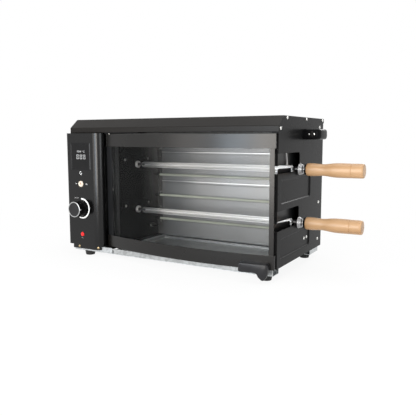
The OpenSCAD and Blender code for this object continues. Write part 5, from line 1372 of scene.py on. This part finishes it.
def build_screws():
    g = []
    for k, (y, z) in enumerate(COVER_SCREWS):
        g.append(screw((0, y, z), "x", -1, 1.0, 0.4 + k))
        g.append(screw((W, y, z), "x", 1, 1.0, 0.9 + k))
    piece("cover_screw_heads", g, M["screw"], replaces=("cover_screws",), angle=36)
    g = []
    for k, (y, z) in enumerate(SIDE_SCREWS + FIELD_SCREWS):
        sunk = 2.5 if k > 1 else 0
        g.append(screw((sunk, y, z), "x", -1, 1.0, 0.2 + k))
        g.append(screw((W - sunk, y, z), "x", 1, 1.0, 0.7 + k))
    piece("side_screw_heads", g, M["screw"], replaces=("side_screws",), angle=36)
    tilt = math.asin((88 - PANEL_W + BEND_R) / BEND_R)
    ct, st = math.cos(tilt), math.sin(tilt)
    seat = (88.0, PANEL_Y + BEND_R * (1 - ct), -2.5)
    turned = moved(screw((0, 0, 0), "y", -1, 0.85, 1.2), lambda v: (seat[0] + v[0] * ct - v[1] * st, seat[1] + v[0] * st + v[1] * ct,
                                                                   seat[2] + v[2]))
    g = [screw((31, PANEL_Y, -2.5), "y", -1, 0.85, 0.5), turned]
    piece("column_screw_heads", g, M["brass"], replaces=("control_screws",), angle=36)
    g = []
    for z in SKEWERS.values():
        for s in (-1, 1):
            g.append(screw((OVEN_X, SKEWER_Y + 46 * s, z + 12.5), "x", 1, 1.0, z + s))
    piece("motor_screw_heads", g, M["dark_screw"], replaces=("motor_screws",), angle=36)
    g = [screw((52 + s * 20, D + 2.5, 46), "y", 1, 1.0, s) for s in (-1, 1)]
    piece("inlet_screw_heads", g, M["screw"], replaces=("inlet_screws",), angle=36)
    gx = W - 39
    g = []
    for s in (-1, 1):
        x, y = on_arc(gx + s * 20, T)
        g.append(screw((x, y, 4.5), "y", 1, 0.9, s))
    piece("grip_screw_heads", g, M["screw"], body="door", replaces=("door_grip_screws",), angle=36)


build_cover()
build_panels()
build_back()
build_base()
build_tray()
build_feet()
build_oven()
build_drive()
build_skewers()
build_column()
build_door()
build_side_grips()
build_screws()


# ---- stage ----------------------------------------------------------------

def light_path_mix(nt, shown):
    """1 for rays that show the backdrop, 0 for rays that light the object."""
    lp = nt.nodes.new("ShaderNodeLightPath")
    prev = lp.outputs["Is Camera Ray"]
    for name in shown:
        m = nt.nodes.new("ShaderNodeMath")
        m.operation = "MAXIMUM"
        nt.links.new(prev, m.inputs[0])
        nt.links.new(lp.outputs[name], m.inputs[1])
        prev = m.outputs[0]
    return prev


scene = bpy.context.scene
world = bpy.data.worlds.new("studio")
scene.world = world
world.use_nodes = True
wn = world.node_tree
wn.nodes.clear()
out = wn.nodes.new("ShaderNodeOutputWorld")
mixer = wn.nodes.new("ShaderNodeMixShader")
soft = wn.nodes.new("ShaderNodeBackground")
soft.inputs["Color"].default_value = (1.0, 1.0, 1.0, 1)
soft.inputs["Strength"].default_value = 0.68
white = wn.nodes.new("ShaderNodeBackground")
white.inputs["Color"].default_value = (1, 1, 1, 1)
white.inputs["Strength"].default_value = 1.0
wn.links.new(light_path_mix(wn, ("Is Glossy Ray", "Is Transmission Ray")), mixer.inputs[0])
wn.links.new(soft.outputs[0], mixer.inputs[1])
wn.links.new(white.outputs[0], mixer.inputs[2])
wn.links.new(mixer.outputs[0], out.inputs["Surface"])

floor_mesh = bpy.data.meshes.new("floor")
floor_mesh.from_pydata([(-14, -14, 0), (14, -14, 0), (14, 14, 0), (-14, 14, 0)], [], [(0, 1, 2, 3)])
floor = bpy.data.objects.new("floor", floor_mesh)
scene.collection.objects.link(floor)
fm = bpy.data.materials.new("floor_paper")
fm.use_nodes = True
ft = fm.node_tree
ft.nodes.clear()
fo = ft.nodes.new("ShaderNodeOutputMaterial")
diff = ft.nodes.new("ShaderNodeBsdfDiffuse")
diff.inputs["Color"].default_value = (0.86, 0.86, 0.86, 1)
glow = ft.nodes.new("ShaderNodeEmission")
glow.inputs["Color"].default_value = (1, 1, 1, 1)
glow.inputs["Strength"].default_value = 1.0
blend = ft.nodes.new("ShaderNodeMixShader")
scale = ft.nodes.new("ShaderNodeMath")
scale.operation = "MULTIPLY"
far = ft.nodes.new("ShaderNodeMapRange")
far.interpolation_type = "SMOOTHSTEP"
far.inputs["From Min"].default_value = 0.25
far.inputs["From Max"].default_value = 1.1
far.inputs["To Min"].default_value = 0.9
far.inputs["To Max"].default_value = 1.0
dist = ft.nodes.new("ShaderNodeVectorMath")
dist.operation = "LENGTH"
place = ft.nodes.new("ShaderNodeTexCoord")
ft.links.new(place.outputs["Object"], dist.inputs[0])
ft.links.new(dist.outputs["Value"], far.inputs["Value"])
ft.links.new(far.outputs["Result"], scale.inputs[1])
ft.links.new(light_path_mix(ft, ("Is Glossy Ray", "Is Transmission Ray")), scale.inputs[0])
ft.links.new(scale.outputs[0], blend.inputs[0])
ft.links.new(diff.outputs[0], blend.inputs[1])
ft.links.new(glow.outputs[0], blend.inputs[2])
ft.links.new(blend.outputs[0], fo.inputs["Surface"])
floor_mesh.materials.append(fm)


def area(name, pos, target, w, h, power, color=(1, 1, 1)):
    la = bpy.data.lights.new(name, "AREA")
    la.shape = "RECTANGLE"
    la.size, la.size_y = w, h
    la.energy = power
    la.color = color
    o = bpy.data.objects.new(name, la)
    scene.collection.objects.link(o)
    o.location = pos
    o.rotation_euler = (Vector(target) - Vector(pos)).to_track_quat("-Z", "Y").to_euler()
    return o


area("front_warm", (0.14, -1.3, 0.46), (0.14, 0.0, 0.46), 0.34, 0.88, 8.5, (1.0, 0.94, 0.87))
area("front_cool", (-0.2, -1.3, 0.46), (-0.2, 0.0, 0.46), 0.3, 0.88, 7.0, (0.78, 0.89, 1.0))
area("front_left", (-0.7, -1.3, 0.46), (-0.7, 0.0, 0.46), 0.5, 0.88, 3.4, (1.0, 0.95, 0.90))
area("top_box", (0.3, 0.1, 2.4), (0.0, 0.0, 0.1), 1.9, 1.6, 21)
area("right_box", (2.2, -0.95, 0.5), (-0.2, 0.0, 0.2), 0.7, 0.96, 7, (0.93, 0.97, 1.0))
area("rear_box", (0.5, 2.3, 1.25), (0.1, 0.0, 0.2), 1.3, 0.5, 12)

cam_data = bpy.data.cameras.new("camera")
cam = bpy.data.objects.new("camera", cam_data)
scene.collection.objects.link(cam)
cam_data.sensor_width = 36
cam_data.sensor_fit = "HORIZONTAL"
cam_data.lens = 517.572 / 416 * 36
cam_data.shift_x = (208 - 207.85) / 416
cam_data.shift_y = -(208 - 197.717) / 416
cam_data.clip_start = 0.05
cam_data.clip_end = 60
cam.location = put((907.149, -918.421, 256.755))
cam.rotation_euler = (math.radians(90 - 6.703), math.radians(0.066), math.radians(29.903))
scene.camera = cam
scene.view_settings.view_transform = "Standard"
